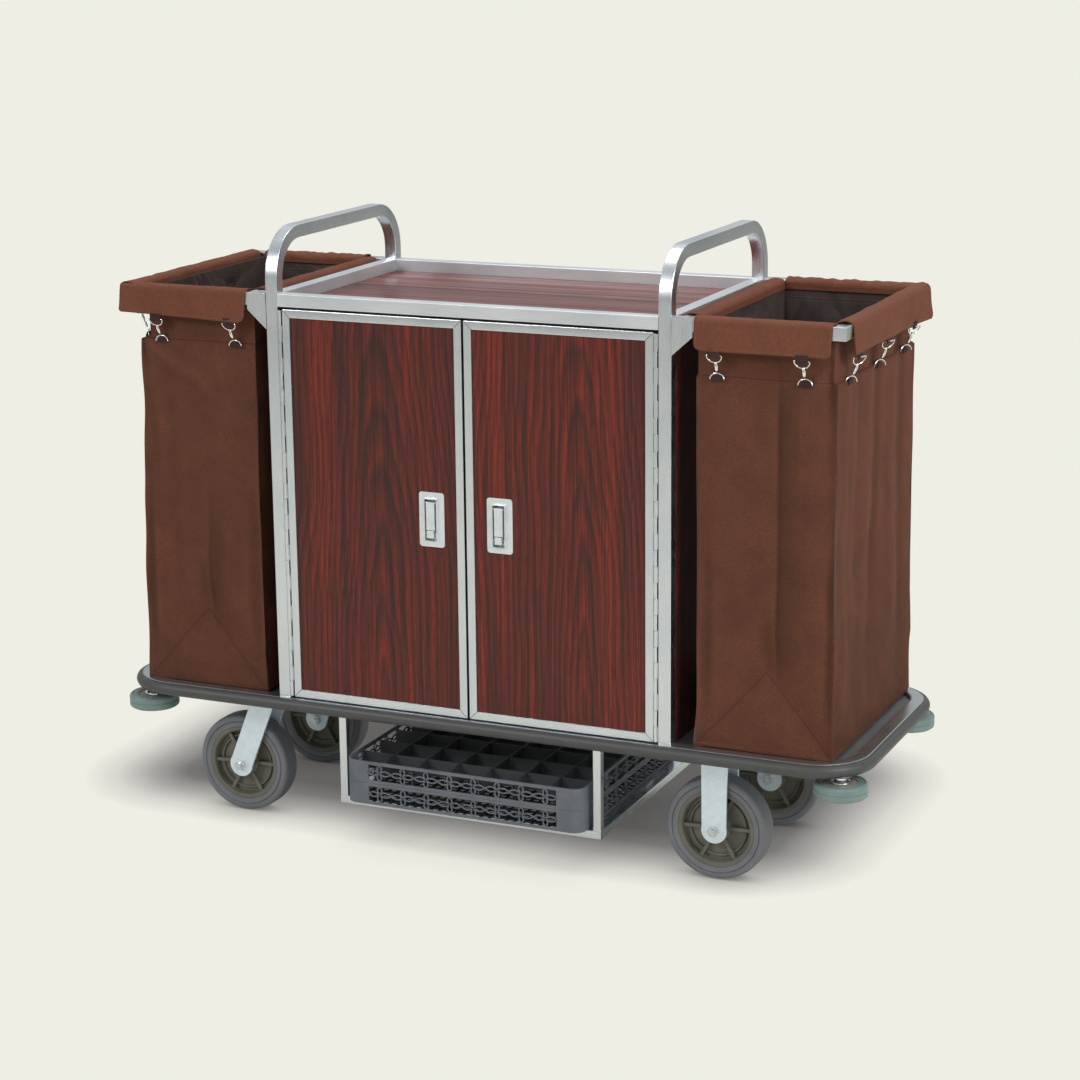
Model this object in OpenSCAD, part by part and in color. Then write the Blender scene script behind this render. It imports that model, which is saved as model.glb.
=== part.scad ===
// Hotel housekeeping cart: a two-door cabinet on a rubber-edged deck, with a push handle over each
// end, a laundry bag hung in a tube frame beyond each end, and a glass rack slung under the deck.
// The origin is on the floor under the middle of the deck; X runs along the cart and the doors
// face -Y. The left casters swivel and the right ones are fixed.

/* [Deck] */
// Height of the deck's rim above the floor
deck_z = 280; // [270:1:300]
// Length of the steel deck
deck_l = 1528; // [1524:2:1600]
// Width of the steel deck
deck_w = 534; // [530:2:560]
// Radius of the deck's corners
deck_r = 100; // [60:5:120]
// Width of the raised rim around the deck's tray
rim_w = 26; // [24:1:30]
// Height of the rim, which is also the bumper strip's height
rim_h = 25; // [22:1:30]
// How far the tray lies below the rim
tray_drop = 6; // [3:1:8]
// How far the rubber bumper strip stands out from the rim
bumper_t = 12; // [8:1:16]

/* [Cabinet] */
// Length of the cabinet over its posts
cab_l = 820; // [780:10:840]
// Depth of the cabinet over its posts
cab_d = 520; // [516:2:528]
// Height of the top rails above the deck
rail_h = 795; // [700:5:850]
// How far the push handles rise above the top rails
handle_rise = 120; // [110:5:160]
// Outer radius of the handles' bends
bend_r = 95; // [50:5:110]
// Width of the square frame tube
tube = 25; // [25:1:25]
// Wall of the frame tube
wall = 1.5; // [1:0.5:2]
// Thickness of the laminate boards
board = 16; // [12:1:18]

/* [Doors] */
// Width of the doors' steel edging
stile = 16; // [14:1:20]
// Thickness of the doors
door_t = 20; // [18:1:22]
// Thickness of the laminate in the doors
door_board = 12; // [10:1:14]
// Width of a latch plate
latch_w = 52; // [46:1:60]
// Height of a latch plate
latch_h = 105; // [96:1:120]
// Distance from the cart's middle to each latch
latch_x = 70; // [60:1:90]

/* [Bags] */
// Distance from the cart's middle to the outer edge of a bag frame
bag_frame_x = 732; // [725:1:750]
// How far the bags' fold-over flaps hang below the frame tube's top
flap_drop = 57; // [40:1:80]
// Thickness of the bag cloth with its lining
cloth = 3; // [2:0.5:3]

/* [Casters] */
// Radius of the caster wheels
wheel_r = 100; // [90:1:100]
// Width of the caster wheels
wheel_w = 48; // [40:1:50]
// Distance from the cart's middle to the left casters' kingpins
swivel_x = 492; // [480:1:500]
// How far the left wheels trail behind their kingpins
trail = 52; // [40:1:54]
// Distance from the cart's middle to the right axles
rigid_x = 470; // [460:1:500]
// Distance from the cart's middle line to each wheel
caster_y = 158; // [157:1:175]

/* [Corner rollers] */
// Radius of the corner rollers
roller_r = 50; // [40:1:55]
// Height of a corner roller
roller_h = 27; // [20:1:30]
// Distance from the cart's middle to the rollers, along the cart
roller_x = 724; // [715:1:735]
// Distance from the cart's middle line to the rollers
roller_y = 218; // [210:1:225]

/* [Glass rack] */
// Width and depth of the rack
rack_w = 500; // [500:1:500]
// Height of the rack over both its tiers
rack_h = 87; // [70:1:87]
// Distance from the cart's middle to the rack's middle, towards the left
rack_off = 10; // [0:1:20]
// Width of the rack carrier's square tube
carrier_tube = 16; // [14:1:18]
// Glass compartments along each side
cells = 7; // [4:1:7]

/* [Hidden] */
$fn = 64;
fit = 0.05;  // radial clearance of every turning or sliding shaft
gap = 0.5;   // clearance between boards, cloth and steel
bumper_gap = 0.1;   // glue line between the rubber strip and the rim
bumper_flat = 0.5;  // least depth of the strip's straight back
sheet = 2;   // thickness of the deck's steel sheet

// Levels, from the floor up
deck_low = deck_z - rim_h;
tray_z = deck_z - tray_drop;
rail_top = deck_z + rail_h;
rail_low = rail_top - tube;
handle_top = rail_top + handle_rise;
panel_z = rail_low + 1;
shelf_z = (tray_z + rail_low) / 2;

// Faces of the cabinet's frame, measured from the cart's middle
post_x = cab_l / 2;
post_y = cab_d / 2;
in_x = post_x - tube;
in_y = post_y - tube;
rim_in_y = deck_w / 2 - rim_w;
shelf_x = post_x - tube / 2 - board / 2 - gap;
shelf_y = in_y - gap;
ledge = 20;

// Doors and their piano hinges
door_low = deck_z + 3;
door_top = rail_low - 4;
door_back = -post_y + door_t;
pin_x = in_x - 4.5;
pin_y = -post_y - 1;
pin_r = 1.5;
knuckle_r = 3.5;
knuckle_n = 25;
hinge_low = door_low + 2;
pitch = (door_top - hinge_low - 2) / knuckle_n;
door_x0 = pin_x - 4.5;
door_x1 = 2;
panel_front = -post_y + 3;

// Latches: pocket, lever, button and spring bolt
latch_z = deck_z + 385;
pocket_w = 24;
pocket_h = 80;
pocket_d = 14;
housing_d = 6;
lever_w = 17;
lever_h = 54;
lever_t = 6;
lever_z = latch_z + pocket_h / 2 - 8;
latch_front = panel_front - 1.5;
housing_front = latch_front - housing_d;
lever_y = housing_front + 4.5;
lever_pin_r = 1.5;
button_w = 14;
button_z = latch_z - pocket_h / 2 + 13;
button_stem_r = 2;
pan_back = panel_front + pocket_d;
bolt_r = 3;
bolt_y = pan_back + 8;
bolt_z = latch_z;

// Bag frames and bags
bag_in_x = post_x + 40;
bag_out_x = bag_frame_x - tube;
bag_low = deck_z + 1;
neck_z = rail_low - 85;
body_out_x = bag_out_x + 7;
mouth_z = rail_top + 1;
flap_low = rail_top - flap_drop;
flap_x0 = bag_in_x + 5;
flap_x1 = bag_frame_x - 42;
flap_y = in_y - 17;
clip_drop = 52;
clip_ring_r = 7;
clip_lean = 24;

// Casters
plate_l = 120;
plate_w = 100;
plate_t = 5;
plate_z = deck_low - plate_t;
bolt_dx = 42;
caster_bolt_r = 4;
bolt_hole_r = 4.25;
nut_r = 7;
bolt_dy = 32;
kingpin_r = 8;
race_r = 32;
race_z = plate_z - 7;
crown_z = race_z - 12;
leg_t = 5;
leg_y = wheel_w / 2 + 4;
fork_w = 52;
fork_end_r = 25;
axle_r = 6;
axle_nut_r = 10.5;
axle_head = 7;
hub_half = wheel_w / 2 + 3;
tread_in = wheel_r - 24;
hub_bore_wall = 11;
hub_rib = 6;
cross_x = [
    -swivel_x - bolt_dx, -swivel_x + bolt_dx, rigid_x - bolt_dx, rigid_x + bolt_dx,
    -rack_off - rack_w / 2 - 18, -rack_off + rack_w / 2 + 18
];
cross_w = 40;
cross_t = 3;

// Corner rollers
roller_z = deck_z - 40 - roller_h / 2;
roller_bolt_r = 6;
roller_core = roller_r * 0.62;
roller_cap_r = 19;
roller_pad_r = 20;
roller_pad_t = 4;

// Glass rack and its carrier
carrier_x = rack_w / 2 + 10;
carrier_y = post_y - 11;
carrier_low = deck_z - 207;
rack_low = carrier_low + carrier_tube + gap;
rack_mid = rack_low + rack_h / 2;
rack_front = -deck_w / 2 - bumper_t;
rack_r = 25;
rack_wall = 3;
motif_n = 8;
motif_pitch = 50;

steel = "gainsboro";
zinc = "lightsteelblue";
laminate = "maroon";
cloth_colour = "saddlebrown";

// A box given by its six faces
module block(x0, x1, y0, y1, z0, z1) {
    translate([x0, y0, z0]) cube([x1 - x0, y1 - y0, z1 - z0]);
}

module rod_x(r, x0, x1) {
    translate([x0, 0, 0]) rotate([0, 90, 0]) cylinder(r = r, h = x1 - x0);
}

module rod_y(r, y0, y1) {
    translate([0, y0, 0]) rotate([-90, 0, 0]) cylinder(r = r, h = y1 - y0);
}

module rod_z(r, z0, z1) {
    translate([0, 0, z0]) cylinder(r = r, h = z1 - z0);
}

// Children again on the cart's other side: across the length, or front and back
module left_and_right() {
    children();
    mirror([1, 0, 0]) children();
}

module front_and_back() {
    children();
    mirror([0, 1, 0]) children();
}

module to_left() {
    mirror([1, 0, 0]) children();
}

module rounded_rect(l, w, r) {
    square([l - 2 * r, w], center = true);
    square([l, w - 2 * r], center = true);
    for (x = [-1, 1], y = [-1, 1]) translate([x * (l / 2 - r), y * (w / 2 - r)]) circle(r = r);
}

// Plan of the deck's outline, drawn in by d
module deck_plan(d) {
    rounded_rect(deck_l - 2 * d, deck_w - 2 * d, deck_r - d);
}

// Flat outline in the XZ plane, from y0 to y1
module slab_y(y0, y1) {
    translate([0, y1, 0]) rotate([90, 0, 0]) linear_extrude(y1 - y0) children();
}

module tube_section(size, t) {
    difference() {
        square(size, center = true);
        square(size - 2 * t, center = true);
    }
}

module tube_along_x(x0, x1, size) {
    translate([x0, 0, 0]) rotate([0, 90, 0]) linear_extrude(x1 - x0) tube_section(size, wall);
}

module tube_along_y(y0, y1, size) {
    translate([0, y1, 0]) rotate([90, 0, 0]) linear_extrude(y1 - y0) tube_section(size, wall);
}

module tube_along_z(z0, z1, size) {
    translate([0, 0, z0]) linear_extrude(z1 - z0) tube_section(size, wall);
}

// ---- Deck ----

// Upward channel under the tray, with holes where caster bolts go through
module cross_member(x, drilled) {
    difference() {
        block(x - cross_w / 2, x + cross_w / 2, -rim_in_y, rim_in_y, deck_low, tray_z - sheet);
        block(x - cross_w / 2 + cross_t, x + cross_w / 2 - cross_t, -rim_in_y, rim_in_y,
            deck_low + cross_t, tray_z);
        if (drilled)
            front_and_back() for (dy = [-bolt_dy, bolt_dy])
                translate([x, caster_y + dy, 0]) rod_z(bolt_hole_r, deck_low - 1, deck_low + cross_t + 1);
    }
}

// Rim, cross-members and the pads that the roller studs stand on
module deck_frame() color(steel) {
    difference() {
        translate([0, 0, deck_low]) linear_extrude(rim_h) difference() {
            deck_plan(0);
            deck_plan(rim_w);
        }
        translate([0, 0, deck_low - 1]) linear_extrude(rim_h - sheet + 1) difference() {
            deck_plan(sheet);
            deck_plan(rim_w - sheet);
        }
    }
    for (i = [0:len(cross_x) - 1]) cross_member(cross_x[i], i < 4);
    left_and_right() front_and_back() translate([roller_x, roller_y, 0])
        rod_z(roller_pad_r, deck_low - roller_pad_t, deck_low + sheet);
}

module deck_tray() color(steel) {
    translate([0, 0, tray_z - sheet]) linear_extrude(sheet) deck_plan(rim_w);
}

// D section of the bumper: flat against the rim, round outside
module bumper_section() {
    intersection() {
        translate([bumper_t - rim_h / 2, rim_h / 2]) circle(r = rim_h / 2);
        translate([bumper_gap, 0]) square([bumper_t, rim_h]);
    }
    translate([bumper_gap, 0]) square([max(bumper_t - rim_h / 2, bumper_flat), rim_h]);
}

module deck_bumper() color("dimgray") {
    run_x = deck_l / 2 - deck_r;
    run_y = deck_w / 2 - deck_r;
    translate([0, 0, deck_low]) {
        front_and_back() translate([-run_x, deck_w / 2, 0])
            rotate([90, 0, 90]) linear_extrude(2 * run_x) bumper_section();
        left_and_right() translate([deck_l / 2, run_y, 0])
            rotate([90, 0, 0]) linear_extrude(2 * run_y) bumper_section();
        left_and_right() front_and_back() translate([run_x, run_y, 0])
            rotate_extrude(angle = 90) translate([deck_r, 0]) bumper_section();
    }
}

// ---- Cabinet ----

// One bent tube: a post at the front, a post at the back and the push handle over them
module handle_frame() {
    bend_z = handle_top - bend_r;
    bend_y = post_y - bend_r;
    translate([post_x - tube / 2, 0, 0]) {
        front_and_back() {
            translate([0, post_y - tube / 2, 0]) tube_along_z(deck_z, bend_z, tube);
            translate([0, bend_y, bend_z]) rotate([90, 0, 90]) rotate_extrude(angle = 90)
                translate([bend_r - tube / 2, 0]) tube_section(tube, wall);
        }
        translate([0, 0, handle_top - tube / 2]) tube_along_y(-bend_y, bend_y, tube);
    }
}

module right_handle_frame() color(steel) handle_frame();
module left_handle_frame() color(steel) to_left() handle_frame();

// Four welded rails round the cabinet's top
module top_rails() color(steel) {
    translate([0, 0, rail_top - tube / 2]) {
        front_and_back() translate([0, post_y - tube / 2, 0]) tube_along_x(-in_x, in_x, tube);
        left_and_right() translate([post_x - tube / 2, 0, 0]) tube_along_y(-in_y, in_y, tube);
    }
}

module top_panel() color(laminate) {
    block(-in_x + gap, in_x - gap, -in_y + gap, in_y - gap, panel_z - board, panel_z);
}

module side_panel() {
    x = post_x - tube / 2;
    block(x - board / 2, x + board / 2, -in_y + gap, in_y - gap, tray_z + gap, rail_low - gap);
}

module right_side_panel() color(laminate) side_panel();
module left_side_panel() color(laminate) to_left() side_panel();

module back_panel() color(laminate) {
    y = post_y - tube / 2;
    block(-in_x + gap, in_x - gap, y - board / 2, y + board / 2, deck_z + gap, rail_low - gap);
}

module shelf() color(laminate) {
    block(-shelf_x, shelf_x, door_back + 18, shelf_y, shelf_z, shelf_z + board);
}

// Angle ledges that carry the shelf
module shelf_rails() color(steel) {
    left_and_right() difference() {
        block(shelf_x - ledge, shelf_x + gap, door_back + ledge, shelf_y, shelf_z - ledge, shelf_z);
        block(shelf_x - ledge - 1, shelf_x + gap - sheet, door_back + ledge - 1, shelf_y + 1,
            shelf_z - ledge - 1, shelf_z - sheet);
    }
}

// ---- Doors and hinges ----

module door_frame() {
    groove_y0 = panel_front - gap / 2;
    groove_y1 = panel_front + door_board + gap / 2;
    difference() {
        block(door_x1, door_x0, -post_y, door_back, door_low, door_top);
        block(door_x1 + stile, door_x0 - stile, -post_y - 1, door_back + 1,
            door_low + stile, door_top - stile);
        block(door_x1 + stile / 2, door_x0 - stile / 2, groove_y0, groove_y1,
            door_low + stile / 2, door_top - stile / 2);
    }
}

module door_panel() {
    inset = stile / 2 + gap;
    difference() {
        block(door_x1 + inset, door_x0 - inset, panel_front, panel_front + door_board,
            door_low + inset, door_top - inset);
        translate([latch_x, 0, latch_z])
            block(-pocket_w / 2 - 1.5, pocket_w / 2 + 1.5, -post_y - 1, door_back,
                -pocket_h / 2 - 1.5, pocket_h / 2 + 1.5);
    }
}

// Face plate with a raised housing that holds the lever and the button, and the bolt's guide behind
module latch_plate() {
    guide_x0 = latch_x - 10;
    translate([latch_x, 0, latch_z]) difference() {
        union() {
            slab_y(latch_front, panel_front) rounded_rect(latch_w, latch_h, 6);
            block(-pocket_w / 2 - 1, pocket_w / 2 + 1, housing_front, pan_back + 1,
                -pocket_h / 2 - 1, pocket_h / 2 + 1);
            translate([-latch_x, 0, 0])
                block(guide_x0, guide_x0 + 20, pan_back + 1, bolt_y + 7, -7, 7);
        }
        block(-pocket_w / 2, pocket_w / 2, housing_front - 1, pan_back, -pocket_h / 2, pocket_h / 2);
        translate([0, lever_y, lever_z - latch_z])
            rod_x(lever_pin_r + fit, -pocket_w / 2 - 2, pocket_w / 2 + 2);
        translate([0, 0, button_z - latch_z]) rod_y(button_stem_r + fit, pan_back - 1, pan_back + 2);
        translate([0, bolt_y, 0]) rod_x(bolt_r + fit, -20, 20);
    }
}

// Long lever, hung on the pin at its top
module latch_lever() {
    translate([latch_x, lever_y, lever_z]) {
        rod_x(lever_pin_r, -pocket_w / 2 - 1, pocket_w / 2 + 1);
        block(-lever_w / 2, lever_w / 2, 1 - lever_t, lever_t / 2, 3 - lever_h, 3);
    }
}

module latch_button() {
    translate([latch_x, 0, button_z]) {
        block(-button_w / 2, button_w / 2, housing_front - 2, housing_front + 7,
            -button_w / 2, button_w / 2);
        rod_y(button_stem_r, housing_front + 6, pan_back + 3);
    }
}

module latch_bolt() {
    translate([0, bolt_y, bolt_z]) rod_x(bolt_r, 3, latch_x + 12);
}

module right_door_frame() color(steel) door_frame();
module left_door_frame() color(steel) to_left() door_frame();
module right_door_panel() color(laminate) door_panel();
module left_door_panel() color(laminate) to_left() door_panel();
module right_latch_plate() color("silver") latch_plate();
module left_latch_plate() color("silver") to_left() latch_plate();
module right_latch_lever() color("silver") latch_lever();
module left_latch_lever() color("silver") to_left() latch_lever();
module right_latch_button() color("silver") latch_button();
module left_latch_button() color("silver") to_left() latch_button();
module right_latch_bolt() color(zinc) latch_bolt();
module left_latch_bolt() color(zinc) to_left() latch_bolt();

// A hinge leaf at x0..x1 with every second knuckle, starting at the first-th
module hinge_leaf(x0, x1, first) {
    for (i = [first:2:knuckle_n - 1]) {
        z0 = hinge_low + i * pitch + 0.2;
        difference() {
            union() {
                translate([pin_x, pin_y, 0]) rod_z(knuckle_r, z0, z0 + pitch - 0.4);
                block(x0, x1, pin_y, pin_y + 6, z0, z0 + pitch - 0.4);
            }
            translate([pin_x, pin_y, 0]) rod_z(pin_r + fit, z0 - 1, z0 + pitch + 1);
        }
    }
    block(x0, x1, pin_y + 5.5, door_back - 3, hinge_low, hinge_low + knuckle_n * pitch);
}

module fixed_hinge_leaves() color(steel) left_and_right() hinge_leaf(in_x - 2, in_x, 0);
module right_hinge_leaf() color(steel) hinge_leaf(door_x0, door_x0 + 2, 1);
module left_hinge_leaf() color(steel) to_left() hinge_leaf(door_x0, door_x0 + 2, 1);

module hinge_pins() color(steel) {
    left_and_right() translate([pin_x, pin_y, 0])
        rod_z(pin_r, hinge_low, hinge_low + knuckle_n * pitch);
}

// ---- Bags ----

// Plan of the bag frame's tube, with its faces drawn in by d
module bag_frame_plan(d) {
    difference() {
        translate([post_x - d, -post_y + d]) square([bag_frame_x - post_x, cab_d - 2 * d]);
        translate([bag_in_x - d, -in_y - d])
            square([bag_out_x - bag_in_x + 2 * d, 2 * in_y + 2 * d]);
        translate([post_x - 1 - d, -in_y - d])
            square([bag_in_x - tube - post_x + 1 + 2 * d, 2 * in_y + 2 * d]);
    }
}

// Tube rectangle carried by two arms from the posts, with a gusset under each arm
module bag_frame() {
    translate([0, 0, rail_low]) difference() {
        linear_extrude(tube) bag_frame_plan(0);
        translate([0, 0, wall]) linear_extrude(tube - 2 * wall) bag_frame_plan(wall);
    }
    front_and_back() slab_y(-post_y, -post_y + 4) polygon([
        [post_x, rail_low], [bag_in_x, rail_low], [bag_in_x, rail_low - 8], [post_x, rail_low - 44]
    ]);
}

module right_bag_frame() color(steel) bag_frame();
module left_bag_frame() color(steel) to_left() bag_frame();

// Open-topped cloth tub with a flap folded out over each side of the frame
module bag() {
    y = in_y - 4;
    x0 = bag_in_x + 1;
    difference() {
        union() {
            block(x0, body_out_x, -y, y, bag_low, neck_z);
            block(x0, bag_out_x - 1, -y, y, neck_z, mouth_z + cloth);
        }
        block(x0 + cloth, body_out_x - cloth, -y + cloth, y - cloth, bag_low + cloth, neck_z - cloth);
        block(x0 + cloth, bag_out_x - 1 - cloth, -y + cloth, y - cloth, neck_z - cloth - 1,
            mouth_z + cloth + 1);
    }
    front_and_back() {
        block(flap_x0, flap_x1, y - cloth, post_y + 1 + cloth, mouth_z, mouth_z + cloth);
        block(flap_x0, flap_x1, post_y + 1, post_y + 1 + cloth, flap_low, mouth_z + cloth);
    }
    block(bag_out_x - 1 - cloth, bag_frame_x + 1 + cloth, -flap_y, flap_y, mouth_z, mouth_z + cloth);
    block(bag_frame_x + 1, bag_frame_x + 1 + cloth, -flap_y, flap_y, flap_low, mouth_z + cloth);
    block(bag_in_x - tube - 1 - cloth, x0 + cloth, -flap_y, flap_y, mouth_z, mouth_z + cloth);
    block(bag_in_x - tube - 1 - cloth, bag_in_x - tube - 1, -flap_y, flap_y, flap_low,
        mouth_z + cloth);
}

module right_bag() color(cloth_colour) bag();
module left_bag() color(cloth_colour) to_left() bag();

// A ring, a swivel barrel and a snap hook, hanging down from the origin
module clip() {
    rotate([90, 0, 0]) for (z = [-clip_ring_r - 2, -clip_drop + clip_ring_r + 4])
        translate([0, z, 0]) rotate_extrude() translate([clip_ring_r, 0]) circle(r = 1.4, $fn = 24);
    rod_z(2.6, -clip_drop + 2 * clip_ring_r + 2, -2 * clip_ring_r - 1);
}

// Clips lean in from the flaps' lower edges to the loops on the bag's seam
module bag_clips() {
    clip_z = flap_low - 2;
    for (x = [flap_x0 + 36, flap_x1 - 37])
        front_and_back() translate([x, post_y + 2, clip_z]) rotate([-clip_lean, 0, 0]) clip();
    for (y = [-0.85, -0.05, 0.72] * flap_y)
        translate([bag_frame_x + 2, y, clip_z]) rotate([0, 0, -90]) rotate([-clip_lean / 2, 0, 0]) clip();
}

module right_bag_clips() color("silver") bag_clips();
module left_bag_clips() color("silver") to_left() bag_clips();

// ---- Glass rack ----

// Two hangers each side, a sill across the front and back, and ledges and guides along the sides
module rack_carrier() color(steel) translate([-rack_off, 0, 0]) {
    half = carrier_tube / 2;
    x = carrier_x + half;
    y = carrier_y - half;
    left_and_right() front_and_back()
        translate([x, y, 0]) tube_along_z(carrier_low + carrier_tube, deck_low, carrier_tube);
    front_and_back() translate([0, y, carrier_low + half])
        tube_along_x(-x - half, x + half, carrier_tube);
    left_and_right() translate([x, 0, carrier_low + half])
        tube_along_y(-y + half, y - half, carrier_tube);
    left_and_right() block(x - half - 12, x - half + 1, -y + half, y - half,
        carrier_low + carrier_tube - sheet, carrier_low + carrier_tube);
}

// One tier's rounded square wall, pierced by a row of windows along each side
module rack_tier(z0, z1) {
    translate([0, 0, z0]) linear_extrude(z1 - z0) difference() {
        rounded_rect(rack_w, rack_w, rack_r);
        rounded_rect(rack_w - 2 * rack_wall, rack_w - 2 * rack_wall, rack_r - rack_wall);
    }
}

module rack_windows(z0, z1) {
    for (i = [0:motif_n - 1]) {
        x = (i - (motif_n - 1) / 2) * motif_pitch;
        for (turn = [0, 90, 180, 270]) rotate([0, 0, turn])
            block(x - motif_pitch * 0.4, x + motif_pitch * 0.4, rack_w / 2 - rack_wall - 1,
                rack_w / 2 + 1, z0 + 9, z1 - 9);
    }
}

// Crossing plates that divide the rack into square cells
module rack_dividers(z0, z1, t) {
    cell = (rack_w - 2 * rack_wall) / cells;
    for (i = [1:cells - 1], turn = [0, 90]) rotate([0, 0, turn])
        block(-rack_w / 2 + 1, rack_w / 2 - 1, (i - cells / 2) * cell - t / 2,
            (i - cells / 2) * cell + t / 2, z0, z1);
}

module rack_base() color("slategray") translate([-rack_off, rack_front + rack_w / 2, 0]) {
    difference() {
        rack_tier(rack_low, rack_mid);
        rack_windows(rack_low, rack_mid);
    }
    rack_dividers(rack_low, rack_low + 4, 3);
}

module rack_extender() color("slategray") translate([-rack_off, rack_front + rack_w / 2, 0]) {
    difference() {
        rack_tier(rack_mid, rack_low + rack_h);
        rack_windows(rack_mid, rack_low + rack_h);
    }
    rack_dividers(rack_mid + 4, rack_low + rack_h - 6, 2.4);
}

// ---- Casters ----

module caster_plate() {
    difference() {
        block(-plate_l / 2, plate_l / 2, -plate_w / 2, plate_w / 2, plate_z, deck_low);
        for (dx = [-bolt_dx, bolt_dx], dy = [-bolt_dy, bolt_dy])
            translate([dx, dy, 0]) rod_z(bolt_hole_r, plate_z - 1, deck_low + 1);
    }
}

// Top plate, ball race and kingpin with its rivet head
module swivel_plates() color(zinc) {
    front_and_back() translate([-swivel_x, caster_y, 0]) {
        caster_plate();
        rod_z(race_r, race_z + 0.2, plate_z);
        rod_z(kingpin_r, crown_z - 9, race_z + 1);
        rod_z(kingpin_r + 5, crown_z - 9, crown_z - 5.2);
    }
}

// Fork leg from the crown or plate down to a round end at the axle, x_top to the axle's side
module fork_leg(x_top, z_top) {
    run = sqrt(x_top * x_top + (z_top - wheel_r) * (z_top - wheel_r));
    inner_r = fork_end_r * 0.96;
    ux = (z_top - wheel_r) / run * inner_r;
    uz = -x_top / run * inner_r;
    difference() {
        slab_y(leg_y, leg_y + leg_t) {
            polygon([[x_top - fork_w / 2, z_top], [x_top + fork_w / 2, z_top], [ux, wheel_r + uz],
                [-ux, wheel_r - uz]]);
            translate([0, wheel_r]) circle(r = fork_end_r);
        }
        translate([0, 0, wheel_r]) rod_y(axle_r + fit, leg_y - 1, leg_y + leg_t + 1);
    }
}

// Swivelling fork: cup under the ball race, crown, and two trailing legs
module swivel_fork() {
    difference() {
        union() {
            rod_z(race_r, crown_z, race_z);
            block(-fork_w / 2, fork_w / 2, -leg_y - leg_t, leg_y + leg_t, crown_z - 5, crown_z);
        }
        rod_z(kingpin_r + fit, crown_z - 6, race_z + 1);
    }
    translate([-trail, 0, 0]) front_and_back() fork_leg(trail, crown_z);
}

module front_left_fork() color(zinc) translate([-swivel_x, -caster_y, 0]) swivel_fork();
module rear_left_fork() color(zinc) translate([-swivel_x, caster_y, 0]) swivel_fork();

module rigid_forks() color(zinc) {
    front_and_back() translate([rigid_x, caster_y, 0]) {
        caster_plate();
        front_and_back() fork_leg(0, plate_z);
    }
}

// Axle bolt with its head at the inner side and its nut at the cart's outer side
module axle() {
    out = leg_y + leg_t;
    rod_y(axle_r, -out - axle_head - 5, out + axle_head);
    rotate([90, 0, 0]) translate([0, 0, out]) cylinder(r = axle_nut_r, h = axle_head + 2, $fn = 6);
    rotate([-90, 0, 0]) translate([0, 0, out]) cylinder(r = axle_nut_r, h = axle_head, $fn = 6);
}

module front_left_axle() color(zinc) translate([-swivel_x - trail, -caster_y, wheel_r]) axle();
module rear_left_axle() color(zinc) translate([-swivel_x - trail, caster_y, wheel_r]) axle();
module rigid_axles() color(zinc) {
    for (y = [-caster_y, caster_y]) translate([rigid_x, y, wheel_r]) axle();
}

// Moulded hub: sleeve, web, six ribs and a rim
module hub() {
    rim_half = wheel_w / 2 - 2;
    difference() {
        union() {
            rod_y(axle_r + hub_bore_wall, -hub_half, hub_half);
            rod_y(tread_in - 4, -4, 4);
            difference() {
                rod_y(tread_in, -rim_half, rim_half);
                rod_y(tread_in - 10, -rim_half - 1, rim_half + 1);
            }
            for (a = [0:60:300]) rotate([0, a, 0])
                block(axle_r + 4, tread_in - 6, 6 - rim_half, rim_half - 6, -hub_rib / 2, hub_rib / 2);
        }
        rod_y(axle_r + fit, -hub_half - 1, hub_half + 1);
    }
}

// Tyre with stepped side walls and eased shoulders
module tread() {
    half = wheel_w / 2;
    rotate([90, 0, 0]) rotate_extrude() polygon([
        [tread_in, 3 - half], [wheel_r - 11, 1 - half], [wheel_r - 9, -half], [wheel_r - 5, -half],
        [wheel_r, 6 - half], [wheel_r, half - 6], [wheel_r - 5, half], [wheel_r - 9, half],
        [wheel_r - 11, half - 1], [tread_in, half - 3]
    ]);
}

module at_left_wheel(side) translate([-swivel_x - trail, side * caster_y, wheel_r]) children();
module at_right_wheel(side) translate([rigid_x, side * caster_y, wheel_r]) children();

module front_left_hub() color("olive") at_left_wheel(-1) hub();
module rear_left_hub() color("olive") at_left_wheel(1) hub();
module front_right_hub() color("olive") at_right_wheel(-1) hub();
module rear_right_hub() color("olive") at_right_wheel(1) hub();
module front_left_tread() color("gray") at_left_wheel(-1) tread();
module rear_left_tread() color("gray") at_left_wheel(1) tread();
module front_right_tread() color("gray") at_right_wheel(-1) tread();
module rear_right_tread() color("gray") at_right_wheel(1) tread();

// ---- Corner rollers ----

// Rubber tyre on a plastic hub
module roller(sx, sy) translate([sx * roller_x, sy * roller_y, roller_z]) {
    half = roller_h / 2;
    rotate_extrude() polygon([
        [roller_core, 1 - half], [roller_r - 3, -half], [roller_r, 4 - half], [roller_r, half - 4],
        [roller_r - 3, half], [roller_core, half - 1]
    ]);
    difference() {
        rod_z(roller_core, 1.5 - half, half - 1.5);
        rod_z(roller_bolt_r + fit, -half, half);
    }
}

module front_left_roller() color("cadetblue") roller(-1, -1);
module rear_left_roller() color("cadetblue") roller(-1, 1);
module front_right_roller() color("cadetblue") roller(1, -1);
module rear_right_roller() color("cadetblue") roller(1, 1);

// Each roller's stud under its pad, with a domed cap on its upper face and a nut below
module roller_bolts() color("silver") {
    half = roller_h / 2;
    left_and_right() front_and_back() translate([roller_x, roller_y, roller_z]) {
        rod_z(roller_bolt_r, -half - 5, deck_low - roller_pad_t - roller_z);
        rod_z(roller_bolt_r * 2, half + 4, deck_low - roller_pad_t - roller_z);
        translate([0, 0, half - 1]) cylinder(r1 = roller_cap_r, r2 = 12, h = 6);
        translate([0, 0, -half - 5]) cylinder(r = 10, h = 6, $fn = 6);
    }
}

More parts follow.
